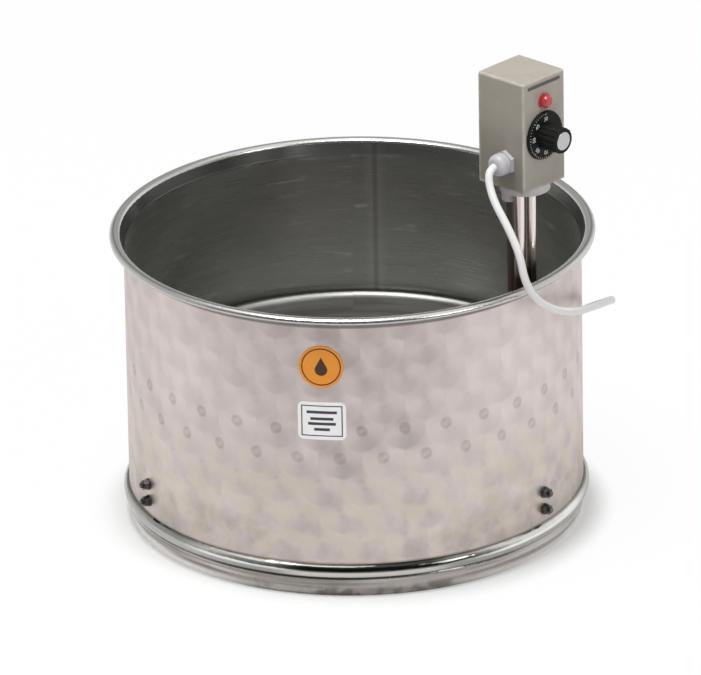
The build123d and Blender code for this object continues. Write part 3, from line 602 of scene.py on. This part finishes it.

# %% [markdown]
# Outside, the marks give light and dark steel with a pink tinge. They show most at the front, and
# their spots most in the rows at half height. Wear like this could be painted by hand. Here it is
# a soft step on the height or on the angle from the front, so that it follows the shell exactly.
# Painted sheen lightens the upper wall on either side of the front. From here on angles are
# in radians, and heights and distances in metres.

# %% Outside of the wall
dull_steel, bright_steel = (0.440, 0.385, 0.373), (0.850, 0.756, 0.742)

marbled_wall, skin, place = new_finish("marbled_wall", metallic=1.0)
angle, reach, height = round_the_axis(place)
turned_away = abs(angle)
marks = place_group(marbling, place)
cloud = noise(place, 40.0, detail=4.0, roughness=0.60)

rows_that_show = span(height, 0.095, 0.118, 0.152, 0.172)
spot = marks["Spot"] * (rows_that_show * 0.85 + 0.15)
# The painted glare of the marks goes into the shade as a painted sheen.
shade = marks["Mark"] * 0.28 + cloud * 0.50 + (marks["Painted_glare"] * 0.13 + 0.11)
contrast = soft_step(turned_away, 0.15, 0.45, 1.25, 0.72)
shade = (shade - 0.5) * contrast + 0.5 - spot * 0.34
# Painted sheen: the upper wall either side of the front is painted lighter.
painted_sheen = span(turned_away, 0.20, 0.60, 0.90, 1.20) * soft_step(height, 0.11, 0.17)
outside = blend(shade + painted_sheen * 0.14, dull_steel, bright_steel)
print("wall nodes", len(place.tree.nodes))

# %% [markdown]
# Low down the wall is creamy and has cloudy stains from use, and it grows darker towards the foot,
# less so at the front. Painted shade darkens it where it meets the foot and where the rim begins
# to flare. Each stain or shade could be a layer with its own mask image, but the heights of the
# foot and the rim are in the frame, so the masks are steps on the height.

# %% Stains on the outside
rim_reach, _, rim_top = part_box("vessel_shell")[1]
foot_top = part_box("foot_ring")[1].z
flare_start = rim_top - 0.0123
cream_tint, stain_and_low_tint = (0.660, 0.590, 0.505), (0.330, 0.290, 0.260)
crevice_shade_tint = (0.085, 0.080, 0.075)

cream = soft_step(noise(place, 26.0) * 0.8 + marks["Painted_glare"] * 0.20, 0.26, 0.56)
low_half = soft_step(height, 0.150, 0.080)
outside = blend(cream * low_half * 0.75, outside, cream_tint)
# Cloudy stains, and a darkening towards the foot, which is less at the front.
stains_and_low_darkening = soft_step(height, 0.120, 0.040) * soft_step(cloud, 0.30, 0.65, 0.35, 0.0)
stains_and_low_darkening = stains_and_low_darkening + soft_step(height, 0.070, 0.032, 0.0, 0.20)
stains_and_low_darkening = stains_and_low_darkening * soft_step(turned_away, 0.15, 0.55, 0.45, 1.20)
outside = blend(stains_and_low_darkening, outside, stain_and_low_tint)
# Painted shade in the crevices where the wall meets the foot and where the rim flares.
shade_at_foot = soft_step(height, foot_top + 0.0020, foot_top + 0.0003, 0.0, 0.45)
shade_at_flare = soft_step(height, flare_start - 0.0009, flare_start + 0.0009, 0.0, 0.80)
outside = blend(larger(shade_at_foot, shade_at_flare), outside, crevice_shade_tint)
print("wall", round(rim_top, 4), "m high, flare from", round(flare_start, 4))

# %% [markdown]
# Inside, the sheet is plain and brushed in rings, with one upright weld where its ends meet. It
# is painted paler where the wall runs along the view, as a painted reflection, and painted darker
# under the curled rim, as painted shade. Brushing could be real grooves, but they are far too
# fine, so streaks in the colour and roughness stand for them.

# %% Inside of the wall
far_shades = (0.368, 0.376, 0.360), (0.471, 0.476, 0.459)
side_reflection_shades = (0.634, 0.649, 0.620), (0.805, 0.815, 0.786)
smear_tint, curl_shade_tint = (0.900, 0.880, 0.840), (0.090, 0.090, 0.086)
heat_tint, weld_tint, weld_mark_tint = (0.62, 0.62, 0.60), (0.10, 0.10, 0.09), (0.28, 0.25, 0.24)

brush = place_group(ring_brushing, place)
far_part = blend(brush["Streaks"], *far_shades)
painted_side_reflection = blend(brush["Streaks"], *side_reflection_shades)
# The sides, where the wall runs along the view, are painted paler as a painted reflection.
inside = blend(soft_step(turned_away, 2.9, 1.8), far_part, painted_side_reflection)
wiped = as_place(angle * 5.0, 0.0, height * 150.0)
smear = soft_step(noise(wiped, 1.0, detail=4.0, roughness=0.62), 0.56, 0.74)
inside = blend(smear * 0.50, inside, smear_tint)

seam_across, seam_depth, _ = axes_of(turned(place, -seam_angle))
seam_side = soft_step(seam_depth, -0.17, -0.18)
seam = soft_step(abs(seam_across), 0.0030, 0.0010) * seam_side
heat = soft_step(abs(seam_across), 0.012, 0.003) * seam_side
inside = blend(heat * 0.30, inside, heat_tint)
inside = blend(seam * 0.32, inside, weld_tint)
outside = blend(seam * 0.50, outside, weld_mark_tint)

# Painted shade under the curled rim, deepest on an arc at the back left.
under_curl = soft_step(height, flare_start - 0.0017, flare_start + 0.0011)
curl_shade = soft_step(turned_away, 2.85, 2.55, 0.40, 0.72)
painted_shade_arc = span(angle, -2.98, -2.80, -1.98, -1.74)
inside = blend(under_curl * larger(curl_shade, painted_shade_arc), inside, curl_shade_tint)
print("weld at", seam_angle, "degrees")

# %% [markdown]
# The curled rim is polished. Its underside has painted shade, and a thin ring along its top is
# painted dark as a painted reflection. It could have a material of its own, but the shell is one
# piece, so one finish holds outside, inside and rim: the distance from the axis tells outside from
# inside, also where the sheet flares, and the height tells the rim.

# %% Rim, and the whole wall
sheet_middle = wall_radius / mm_per_metre - 0.0005
flare_slope = 0.378
curl_reflection_reach = rim_reach - 0.0033
rim_shades = (0.560, 0.560, 0.545), (0.720, 0.715, 0.700)
curl_reflection_tint = (0.12, 0.12, 0.115)

flare = larger(height - flare_start, 0.0) * flare_slope
is_outside = soft_step(reach - flare, sheet_middle - 0.0001, sheet_middle + 0.0001)
past_wall = soft_step(reach, rim_reach - 0.0081, rim_reach - 0.0078)
is_rim = larger(past_wall, soft_step(height, rim_top - 0.0035, rim_top - 0.0029))
rim = blend(brush["Lines"], *rim_shades)
# Painted shade on the underside of the curl.
shade_under_rim = soft_step(height, rim_top - 0.0032, rim_top - 0.0054)
rim = blend(shade_under_rim * 0.80, rim, crevice_shade_tint)
# A thin dark ring along the top of the curl is a painted reflection.
curl_dark_reflection = soft_step(abs(reach - curl_reflection_reach), 0.0009, 0.0003)
rim = blend(curl_dark_reflection * 0.55, rim, curl_reflection_tint)
colour = blend(is_rim, blend(is_outside, inside, outside), rim)

rough_outside = marks["Mark"] * 0.08 + 0.38
rough_inside = brush["Lines"] * 0.14 + smear * 0.12 + 0.22
rough_rim = brush["Lines"] * 0.08 + 0.17
rough = between(is_rim, between(is_outside, rough_inside, rough_outside), rough_rim)
marbled = is_outside * (1.0 - is_rim)
relief = (marks["Dish"] - spot * 0.12) * marbled * 0.6 + brush["Lines"] * 0.02
coat(skin, colour, rough, relief, relief_mm=0.30)
dress(marbled_wall, "vessel_shell")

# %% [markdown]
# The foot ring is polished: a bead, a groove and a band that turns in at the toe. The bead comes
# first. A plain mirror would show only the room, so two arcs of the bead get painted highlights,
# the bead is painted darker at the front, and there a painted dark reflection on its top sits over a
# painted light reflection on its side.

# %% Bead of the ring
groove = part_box("vessel_shell")[0].z
shoulder = groove + 0.0065
bead_shades = (0.330, 0.330, 0.312), (0.560, 0.556, 0.536)
front_bead_tint, highlight_tint = (0.12, 0.12, 0.112), (0.92, 0.92, 0.90)
dark_reflection_tint, light_reflection_tint = (0.035, 0.034, 0.030), (0.60, 0.59, 0.56)

polished_ring, skin, place = new_finish("polished_ring", metallic=1.0)
brush = place_group(ring_brushing, place)
touch = place_group(handling, place)
angle, _, height = round_the_axis(place)
at_front = soft_step(abs(angle), 0.95, 0.25)

bead = blend(brush["Streaks"], *bead_shades)
# The bead is painted darker all round and most at the front, as a painted dark reflection.
bead = blend(at_front * 0.35 + 0.15, bead, front_bead_tint)
# Painted highlights on two arcs of the bead.
right_arc = span(angle, 0.45, 0.70, 1.15, 1.45)
left_arc = span(angle, -0.90, -0.65, -0.35, -0.20)
front_arc = span(angle, -0.40, -0.22, 0.30, 0.46)
painted_highlight_arcs = (right_arc + left_arc) * soft_step(height, shoulder - 0.0010, shoulder + 0.0010)
bead = blend(painted_highlight_arcs * 0.80, bead, highlight_tint)
# At the front, a painted dark reflection on the top of the bead over a painted light reflection.
painted_dark_top = front_arc * soft_step(height, shoulder - 0.0003, shoulder + 0.0013, 0.0, 0.90)
bead = blend(painted_dark_top, bead, dark_reflection_tint)
painted_light_side = front_arc * soft_step(height, shoulder + 0.0007, shoulder - 0.0009, 0.0, 0.85)
bead = blend(painted_light_side, bead, light_reflection_tint)
print("groove", round(groove, 4), "m, shoulder of the bead", round(shoulder, 4))

# %% [markdown]
# The band below the groove is painted darker at the front, as a painted dark reflection, and is
# blotched there, with a painted light reflection on the toe at the sides. Painted shade fills the
# groove and the top of the ring where it meets the wall. Polishing leaves the ring faintly wavy,
# and real waves would need a far finer mesh, so a soft bump breaks up the reflections.

# %% Band of the ring
band_shades = (0.230, 0.210, 0.195), (0.740, 0.705, 0.680)
front_band_tint, blotch_tint = (0.190, 0.168, 0.150), (0.085, 0.072, 0.060)
toe_reflection_tint, ring_shade_tint = (0.88, 0.86, 0.84), (0.05, 0.05, 0.045)

band = blend(soft_step(brush["Streaks"], 0.30, 0.70), *band_shades)
# The band is painted darker at the front, as a painted dark reflection.
band = blend(at_front * 0.55, band, front_band_tint)
is_bead = soft_step(height, groove - 0.0002, groove + 0.0006)
colour = blend(is_bead, band, bead)
blotch = soft_step(noise(place, 30.0, detail=3.0, roughness=0.6), 0.47, 0.60)
blotch = blotch * soft_step(height, 0.012, 0.003) * (at_front * 0.52 + 0.20)
colour = blend(blotch, colour, blotch_tint)
# The toe at the sides is painted pale, as a painted reflection.
toe = soft_step(height, 0.0085, 0.0035) * (1.0 - at_front)
colour = blend(toe * 0.80, colour, toe_reflection_tint)
# Painted shade in the groove and where the ring meets the wall.
shade_in_groove = soft_step(abs(height - groove), 0.0013, 0.0004, 0.0, 0.40)
shade_at_wall = soft_step(height, foot_top - 0.0019, foot_top - 0.0001, 0.0, 0.45)
colour = blend(larger(shade_in_groove, shade_at_wall), colour, ring_shade_tint)

rough = between(is_bead, touch["Smudge"] * 0.16 + 0.24, brush["Lines"] * 0.10 + 0.06)
waves = noise(place, 48.0)
coat(skin, colour, rough, waves + brush["Lines"] * 0.03, relief_mm=1.0)
dress(polished_ring, "foot_ring")

# %% [markdown]
# The strainer is a basket of plain sheet with a perforated floor, on three brackets. Melted
# honey has left faint dark lines on its wall, and where its lip faces the narrow gap to the vessel
# it is painted dark, as painted shade. It could share the wall's finish, but it has no marks, rim
# or weld, so a small finish does.

# %% Plain sheet inside
floor_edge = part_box("strainer_floor")[1].x
lip_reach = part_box("strainer_basket")[1].x
sheet_shades = (0.330, 0.330, 0.322), (0.490, 0.490, 0.480)
smudge_tint, honey_tint, gap_shade_tint = (0.27, 0.25, 0.22), (0.200, 0.185, 0.160), (0.06, 0.06, 0.055)

plain_sheet, skin, place = new_finish("plain_sheet", metallic=1.0)
brush = place_group(ring_brushing, place)
touch = place_group(handling, place)
_, reach, _ = round_the_axis(place)
colour = blend(brush["Lines"], *sheet_shades)
colour = blend(touch["Smudge"] * 0.10, colour, smudge_tint)
near_wall = soft_step(reach, floor_edge - 0.0084, floor_edge - 0.0024)
honey_lines = soft_step(brush["Streaks"], 0.40, 0.62, 0.0, 0.55) * near_wall
colour = blend(honey_lines, colour, honey_tint)
# Painted shade on the lip, where it faces the narrow gap to the vessel.
shade_in_gap = soft_step(reach, lip_reach - 0.0076, lip_reach - 0.0066)
colour = blend(shade_in_gap * 0.85, colour, gap_shade_tint)
rough_edge = soft_step(reach, floor_edge - 0.0009, floor_edge + 0.0004, 0.16, 0.40)
coat(skin, colour, brush["Lines"] * 0.20 + rough_edge, brush["Lines"], relief_mm=0.008)
dress(plain_sheet, "strainer_basket", "strainer_floor", "support_brackets")

# %% [markdown]
# Bolts, nuts and washers are dark plated steel with greasy patches. They are small in the
# picture, so a smudge, a grain and a slight bump are enough, and one finish serves them all.

# %% Fasteners
plating_shades = (0.120, 0.117, 0.112), (0.060, 0.058, 0.055)
rubbed_plating = (0.20, 0.195, 0.19)

fastener, skin, place = new_finish("fastener", metallic=1.0)
touch = place_group(handling, place)
grain = place_group(moulding, place, Grain_per_mm=3.0)
colour = blend(touch["Smudge"], *plating_shades)
colour = blend(grain["Grain"] * 0.4, colour, rubbed_plating)
coat(skin, colour, grain["Cloud"] * 0.2 + 0.22, grain["Grain"], relief_mm=0.03)
dress(fastener, "bracket_bolts", "bracket_washers", "bracket_nuts", "cover_screws", "earth_screw",
      "thermostat_nut", "thermostat_shaft", "lamp_nut", "collar_ring_nut")

# %% [markdown]
# The heating element is drawn stainless tube. Its legs are bright above the rim of the vessel,
# where they hold no heating wire. Below, the tube has gone dark brown from the heat and from
# burnt honey, and the same dark brown also stands for the dark inside of the vessel mirrored in
# it, as a painted reflection. Two materials would meet in a hard line, so the tint follows the
# height, with an uneven edge.

# %% Heating element
bright_shades = (0.730, 0.635, 0.595), (0.940, 0.870, 0.840)
brown_shades = (0.085, 0.058, 0.040), (0.190, 0.135, 0.092)

element_tube, skin, place = new_finish("element_tube", metallic=1.0)
x, y, height = axes_of(place)
drawn = noise(as_place(x * 1600.0, y * 1600.0, height * 30.0), 1.0)
uneven = height + noise(place, 60.0, detail=3.0) * 0.02
# Below the rim: heat tint and burnt honey, and a painted reflection of the dark inside.
burn_and_dark_reflection = soft_step(uneven, rim_top + 0.011, rim_top - 0.005)
bright = blend(drawn, *bright_shades)
browned_and_reflected = blend(noise(place, 22.0, detail=3.0), *brown_shades)
coat(skin, blend(burn_and_dark_reflection, bright, browned_and_reflected), drawn * 0.10 + 0.14, drawn, relief_mm=0.015)
dress(element_tube, "heating_element")

# %% [markdown]
# The control box is folded metal with a warm grey satin paint, worn at its edges, where it is
# also painted lighter as a painted highlight. Edges could be found from the mesh, but the sizes of
# the box are known, so a Mapping node brings a place into its own axes, and an edge is where two
# of them are near their ends. The joint of the knob says how far the box is turned.

# %% Edges of the box
knob_joint = next(joint for joint in frame["joints"] if joint["name"] == "thermostat_turn")
panel_out = -Vector(knob_joint["axis"])
head_turn = math.atan2(panel_out.x, -panel_out.y)
head_middle = Vector((0.14026, -0.07846, 0.37065))
half_width, half_depth, half_height = 0.0255, 0.02475, 0.04785

head_paint, skin, place = new_finish("head_paint")
into_head = place.tree.nodes.new("ShaderNodeMapping")
into_head.inputs["Rotation"].default_value = (0.0, 0.0, -head_turn)
into_head.inputs["Location"].default_value = -(Matrix.Rotation(-head_turn, 3, "Z") @ head_middle)
connect(place, into_head.inputs["Vector"])
x, y, z = axes_of(Wire(into_head.outputs[0]))
side, face, top = [soft_step(abs(value), half - 0.0026, half - 0.0004)
                   for value, half in ((x, half_width), (y, half_depth), (z, half_height))]
edges = larger(larger(side * face, side * top), face * top)
print("box turned", round(math.degrees(head_turn), 2), "degrees")

# %% [markdown]
# The paint has a fine orange peel. The box is painted darker low down and over the side with the
# gland, as painted shade. It could be one flat grey, but that would look like a drawing, so each
# of these is a soft step in the box's own axes, and the worn edges, partly a painted highlight,
# come last.

# %% Paint of the box
paint_shades = (0.355, 0.322, 0.278), (0.405, 0.368, 0.320)
shade_and_smudge_tint, worn_and_lit_tint = (0.190, 0.178, 0.142), (0.62, 0.59, 0.55)

peel = place_group(moulding, place, Grain_per_mm=0.9)
touch = place_group(handling, place)
colour = blend(peel["Cloud"], *paint_shades)
# Painted shade over the side with the gland, deeper towards the bottom, and low down on the box.
shaded_gland_side = soft_step(x, 0.0006 - half_width, 0.0001 - half_width)
shaded_gland_side = shaded_gland_side * soft_step(z, 0.030, -0.045, 0.35, 1.0)
painted_box_shade = larger(soft_step(z, 0.010, -0.050) * 0.45, shaded_gland_side * 0.85)
colour = blend(painted_box_shade + touch["Smudge"] * 0.12, colour, shade_and_smudge_tint)
# The edges are worn, and painted lighter as a painted highlight.
wear_and_highlight = edges * soft_step(peel["Cloud"], 0.38, 0.60, 0.10, 0.48)
colour = blend(wear_and_highlight, colour, worn_and_lit_tint)
coat(skin, colour, touch["Smudge"] * 0.12 + 0.40, peel["Grain"], relief_mm=0.05)
dress(head_paint, "control_housing", "back_cover")

# %% [markdown]
# Collar, gland, knob, seals, terminal block and cord are moulded. Each has two near shades in
# soft clouds, a little dust and a fine grain. Each could be a material written out by itself, but
# they differ only in their numbers, so one function makes all of them.

# %% Moulded plastics and rubber
def moulded(name, first, second, roughness, grain_per_mm, relief_mm, **constants):
    """A moulded finish between two shades, with its roughness, grain and height of grain."""
    finish, skin, place = new_finish(name, **constants)
    grain = place_group(moulding, place, Grain_per_mm=grain_per_mm)
    touch = place_group(handling, place)
    dusty = tuple(0.75 * part + 0.14 for part in second)
    colour = blend(touch["Dust"] * 0.16, blend(grain["Cloud"], first, second), dusty)
    coat(skin, colour, touch["Smudge"] * 0.12 + roughness, grain["Grain"], relief_mm)
    return finish


grey_collar = moulded("grey_collar", (0.43, 0.412, 0.412), (0.52, 0.50, 0.50), 0.42, 1.6, 0.03)
pale_gland = moulded("pale_gland", (0.41, 0.395, 0.425), (0.51, 0.495, 0.52), 0.36, 1.8, 0.02)
feeler_sleeve = moulded("feeler_sleeve", (0.050, 0.034, 0.028), (0.085, 0.060, 0.048), 0.40, 1.4, 0.02)
black_knob = moulded("black_knob", (0.005, 0.005, 0.005), (0.011, 0.011, 0.010), 0.50, 2.5, 0.02,
                     Specular_IOR_Level=0.14)
dark_rubber = moulded("dark_rubber", (0.022, 0.022, 0.022), (0.045, 0.045, 0.044), 0.70, 2.2, 0.04)
cream_block = moulded("cream_block", (0.62, 0.56, 0.44), (0.72, 0.66, 0.54), 0.45, 1.6, 0.03)
white_flex = moulded("white_flex", (0.68, 0.672, 0.672), (0.74, 0.735, 0.735), 0.38, 2.2, 0.015)
dress(grey_collar, "heater_collar")
dress(feeler_sleeve, "feeler_tube")
dress(pale_gland, "gland_body", "gland_nut", "gland_locknut")
dress(black_knob, "dial_skirt", "knob_grip", "thermostat_body", "cord_tie")
dress(dark_rubber, "cover_gasket", "gland_seal")
dress(cream_block, "terminal_block", "lamp_body")
dress(white_flex, "plug_sleeve", "plug_body", "cord_inlet", "inner_wires")
flex.materials.append(white_flex)

# %% [markdown]
# The cap in the middle of the knob is bright metal with a coarse, sparkling grain. The pins and
# the feeler are brass, duller where they were touched. Both are plain metals, so a change of shade
# and roughness is enough, with a slight bump on the cap.

# %% Bright cap and brass
bright_cap, skin, place = new_finish("bright_cap", metallic=1.0)
grain = place_group(moulding, place, Grain_per_mm=1.2)
colour = blend(grain["Grain"], (0.46, 0.46, 0.47), (0.65, 0.65, 0.65))
coat(skin, colour, grain["Grain"] * 0.2 + 0.20, grain["Grain"], relief_mm=0.03)
dress(bright_cap, "knob_cap")

contact_brass, skin, place = new_finish("contact_brass", metallic=1.0)
touch = place_group(handling, place)
colour = blend(touch["Smudge"], (0.78, 0.60, 0.30), (0.55, 0.40, 0.20))
coat(skin, colour, touch["Smudge"] * 0.2 + 0.18)
dress(contact_brass, "heater_pins", "plug_pins", "feeler_bulb")

# %% [markdown]
# The pilot lamp is off. Its lens is red plastic with no light behind it, so it looks deep red with
# a sharp glint. It could be made see-through, but so small a lens shows little depth, and a
# glossy coat over a cloudy red gives the same look.

# %% Red lens
red_lens, skin, place = new_finish("red_lens", Coat_Weight=0.6, Coat_Roughness=0.05, IOR=1.5)
grain = place_group(moulding, place, Grain_per_mm=0.5)
colour = blend(grain["Cloud"], (0.36, 0.022, 0.028), (0.52, 0.050, 0.055))
coat(skin, colour, grain["Grain"] * 0.08 + 0.12, grain["Grain"], relief_mm=0.02)
dress(red_lens, "lamp_lens")

# %% [markdown]
# Two printed labels sit on the front of the wall. Each is a thin plate, drawn flat in millimetres
# from a bmesh operator's outline, sliced into upright strips so that it can bend, and rolled onto
# the wall. A flat plate would float at its ends or sink in at its middle.

# %% Plates that bend
label_thickness = 0.25
label_azimuth = math.radians(-8.3)
label_radius = wall_radius + 0.05
slice_width = 2.0


def thicken(sheet, millimetres):
    """Extrude a flat sheet upwards into a thin closed plate."""
    raised = bmesh.ops.extrude_face_region(sheet, geom=sheet.faces[:])["geom"]
    tops = [part for part in raised if isinstance(part, bmesh.types.BMVert)]
    bmesh.ops.translate(sheet, verts=tops, vec=(0.0, 0.0, millimetres))
    bmesh.ops.recalc_face_normals(sheet, faces=sheet.faces[:])


def rounded_plate(width, height, corner, millimetres):
    """A thin plate with rounded corners, flat on the XY plane and centred there."""
    plate = bmesh.new()
    bmesh.ops.create_grid(plate, x_segments=1, y_segments=1, size=0.5)
    bmesh.ops.scale(plate, verts=plate.verts[:], vec=(width, height, 1.0))
    bmesh.ops.bevel(plate, geom=plate.verts[:], offset=corner, segments=6, profile=0.5,
                    affect="VERTICES", material=-1)
    thicken(plate, millimetres)
    return plate


def roll_onto_wall(label, width, height):
    """Slice a flat label into strips and bend it round the wall at its own height."""
    for cut in range(1, int(width / slice_width)):
        everything = label.verts[:] + label.edges[:] + label.faces[:]
        bmesh.ops.bisect_plane(label, geom=everything, plane_no=(1.0, 0.0, 0.0),
                               plane_co=(cut * slice_width - width / 2, 0.0, 0.0))
    for vert in label.verts:
        angle = label_azimuth + vert.co.x / label_radius
        reach = label_radius + vert.co.z
        on_wall = Vector((reach * math.sin(angle), -reach * math.cos(angle), height + vert.co.y))
        vert.co = on_wall / mm_per_metre


print("labels", label_thickness, "mm thick on radius", label_radius)

# %% [markdown]
# The print on the labels is plain: a drop in a ring, and bars in a frame. It could be an image,
# but sums on the label's own millimetres, along and up from its middle, stay sharp at any
# distance. A line is drawn where its sum is near zero. The drop is a round belly with a tip.

# %% Drop in a ring
ring_radius, ring_half_line = 15.9, 0.55
belly_radius, belly_drop = 5.2, 2.6
tip_height, tip_slope = 8.5, 0.53
ink_edge = 0.2


def within(value, half):
    """1 where a value is nearer to zero than half, with a soft edge."""
    return soft_step(abs(value), half + ink_edge, half - ink_edge)


def drop_in_a_ring(along, up):
    """A ring, and in it a drop: a round belly under a pointed tip."""
    ring = within(distance(along, up) - ring_radius, ring_half_line)
    belly = within(distance(along, up + belly_drop), belly_radius)
    past_slope = abs(along) - (tip_height - up) * tip_slope
    tip = soft_step(past_slope, ink_edge, -ink_edge) * soft_step(up, -0.4, 0.0)
    return larger(ring, larger(belly, tip))


print("ring", 2 * ring_radius, "mm wide")

# %% [markdown]
# The other label has a frame and four plain bars of several lengths. They could be small plates of
# their own, but ink has no thickness to speak of, so they are sums too. Each bar is given by its
# height over the middle and half its length.

# %% Bars in a frame
frame_half_width, frame_half_height, frame_half_line = 16.6, 13.2, 0.5
bar_half_line = 1.25
bars = ((7.6, 12.5), (1.8, 9.5), (-2.6, 11.5), (-7.6, 6.5))


def bars_in_a_frame(along, up):
    """A frame, and in it bars of several lengths at several heights."""
    upright = within(abs(along) - frame_half_width, frame_half_line)
    level = within(abs(up) - frame_half_height, frame_half_line)
    upright = upright * within(up, frame_half_height + frame_half_line)
    level = level * within(along, frame_half_width + frame_half_line)
    ink = larger(upright, level)
    for bar_height, half_length in bars:
        bar = within(up - bar_height, bar_half_line) * within(along, half_length)
        ink = larger(ink, bar)
    return ink


print("bars", len(bars))

# %% [markdown]
# A label is paper or vinyl with a slight gloss, and its print has worn a little with the grain.
# One function makes both, because they differ only in their shades, their ink and their mask.

# %% Paper and ink
def label_finish(name, first, second, ink, mask_of, label_height):
    """Paper between two shades, printed where the mask says, at a label's height."""
    finish, skin, place = new_finish(name)
    angle, _, height = round_the_axis(place)
    along = (angle - label_azimuth) * label_radius
    up = height * mm_per_metre - label_height
    grain = place_group(moulding, place, Grain_per_mm=1.2)
    touch = place_group(handling, place)
    worn = mask_of(along, up) * soft_step(grain["Grain"], 0.25, 0.45, 0.90, 1.0)
    colour = blend(worn, blend(grain["Cloud"], first, second), ink)
    coat(skin, colour, touch["Smudge"] * 0.15 + 0.34, grain["Grain"], relief_mm=0.01)
    return finish


print("prints", drop_in_a_ring.__name__, bars_in_a_frame.__name__)

# %% [markdown]
# The round label is a circle, and the other a plate with rounded corners. They could be part of
# the wall's own finish, but then they would have no edge, so they are pieces of their own.

# %% Labels on the wall
round_height, round_radius = 204.5, 18.6
square_height, square_width, square_rise, square_corner = 156.6, 40.0, 33.5, 5.0

round_label = bmesh.new()
bmesh.ops.create_circle(round_label, cap_ends=True, segments=72, radius=round_radius)
thicken(round_label, label_thickness)
roll_onto_wall(round_label, 2 * round_radius, round_height)
orange = label_finish("orange_label", (0.78, 0.25, 0.012), (0.88, 0.33, 0.022), (0.055, 0.020, 0.005),
                      drop_in_a_ring, round_height)
square_label = rounded_plate(square_width, square_rise, square_corner, label_thickness)
roll_onto_wall(square_label, square_width, square_height)
white_vinyl = label_finish("white_label", (0.84, 0.84, 0.85), (0.90, 0.90, 0.90), (0.035, 0.037, 0.055),
                           bars_in_a_frame, square_height)
printed = (("round_label", round_label, orange), ("square_label", square_label, white_vinyl))
for name, shape, finish in printed:
    label = new_piece(name, shape, finish)
    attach(label, "vessel")
    print(name, len(label.data.polygons), "faces")

# %% [markdown]
# The dial is printed white on black. First comes its ring of ticks, longer where a number stands.
# They could be a texture, but shapes stay sharper, so each tick is a small grid, turned round the
# middle of the dial. The knob's joint gives the place of the dial and the sweep of its scale.

# %% Ticks of the dial
sweep = knob_joint["range_deg"][1]
print_thickness = 0.06
tick_turn, number_turn = 7.5, 45.0
tick_outer, tick_short, tick_long, tick_width = 19.6, 1.0, 1.8, 0.35
tick_count = int(sweep / tick_turn) + 1


def dial_turn(degrees):
    return Matrix.Rotation(math.radians(degrees), 4, "Z")


dial_shape = bmesh.new()
for step in range(tick_count):
    length = tick_long if step * tick_turn % number_turn == 0 else tick_short
    outwards = Matrix.Translation((0.0, tick_outer - length / 2, 0.0))
    size = Matrix.Diagonal((tick_width, length, 1.0, 1.0))
    bmesh.ops.create_grid(dial_shape, x_segments=1, y_segments=1, size=0.5,
                          matrix=dial_turn(step * tick_turn) @ outwards @ size)
thicken(dial_shape, print_thickness)
print("ticks", tick_count)

# %% [markdown]
# The numbers are plain degrees. Text can't be a part of a mesh, so each number is made as text,
# turned into a mesh and joined to the ticks. The knob is at its lowest setting, so 30 stands at
# the top.

# %% Numbers of the dial
number_radius, number_size = 14.3, 4.9
first_number, number_step = 30, 10
number_count = int(sweep / number_turn) + 1

for step in range(number_count):
    writing = bpy.data.curves.new("number", "FONT")
    writing.body = str(first_number + number_step * step)
    writing.size = number_size
    writing.extrude = print_thickness / 2
    writing.align_x, writing.align_y = "CENTER", "CENTER"
    holder = bpy.data.objects.new("number", writing)
    number = bpy.data.meshes.new_from_object(holder)
    outwards = Matrix.Translation((0.0, number_radius, print_thickness / 2))
    number.transform(dial_turn(step * number_turn) @ outwards)
    dial_shape.from_mesh(number)
    bpy.data.objects.remove(holder)
    bpy.data.meshes.remove(number)
    bpy.data.curves.remove(writing)
print("numbers", number_count, "from", first_number)

# %% [markdown]
# So far the dial lies flat in millimetres. It could be an object that is turned and scaled, but a
# finished piece sits at the origin with its place in its mesh, so one matrix moves the mesh onto
# the face of the knob's skirt. The dial rides on the knob and turns with it.

# %% Dial marks
knob_spot = Vector(knob_joint["pos_m"])
panel_right = Vector((-panel_out.y, panel_out.x, 0.0))
panel_up = Vector((0.0, 0.0, 1.0))
face_lift = 3.0


def on_panel(right, up, out):
    """Millimetres from the knob's axis on the panel, turned into a placing in metres."""
    spot = knob_spot + (panel_right * right + panel_up * up + panel_out * out) / mm_per_metre
    turn = Matrix((panel_right, panel_up, panel_out)).transposed().to_4x4()
    return Matrix.Translation(spot) @ turn @ Matrix.Scale(1 / mm_per_metre, 4)


bmesh.ops.transform(dial_shape, verts=dial_shape.verts[:], matrix=on_panel(0.0, 0.0, face_lift))
white_print = moulded("white_print", (0.74, 0.74, 0.72), (0.84, 0.84, 0.82), 0.45, 3.0, 0.01)
dial = new_piece("dial_marks", dial_shape, white_print)
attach(dial, "knob")
print("dial marks", len(dial.data.polygons), "faces")

# %% [markdown]
# Under the top edge of the panel there is a narrow dark strip. It is a thin plate with rounded
# corners, made as the labels are, but the panel is flat, so it is only moved into place.

# %% Strip on the panel
strip_width, strip_height, strip_corner, strip_thickness = 39.0, 3.0, 0.8, 0.15
strip_right, strip_up = 0.9, 44.6

strip = rounded_plate(strip_width, strip_height, strip_corner, strip_thickness)
bmesh.ops.transform(strip, verts=strip.verts[:], matrix=on_panel(strip_right, strip_up, 0.0))
strip_print = moulded("strip_print", (0.060, 0.055, 0.050), (0.110, 0.100, 0.090), 0.40, 1.5, 0.02)
strip_piece = new_piece("panel_strip", strip, strip_print)
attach(strip_piece, "heater")
print("strip", len(strip_piece.data.polygons), "faces")
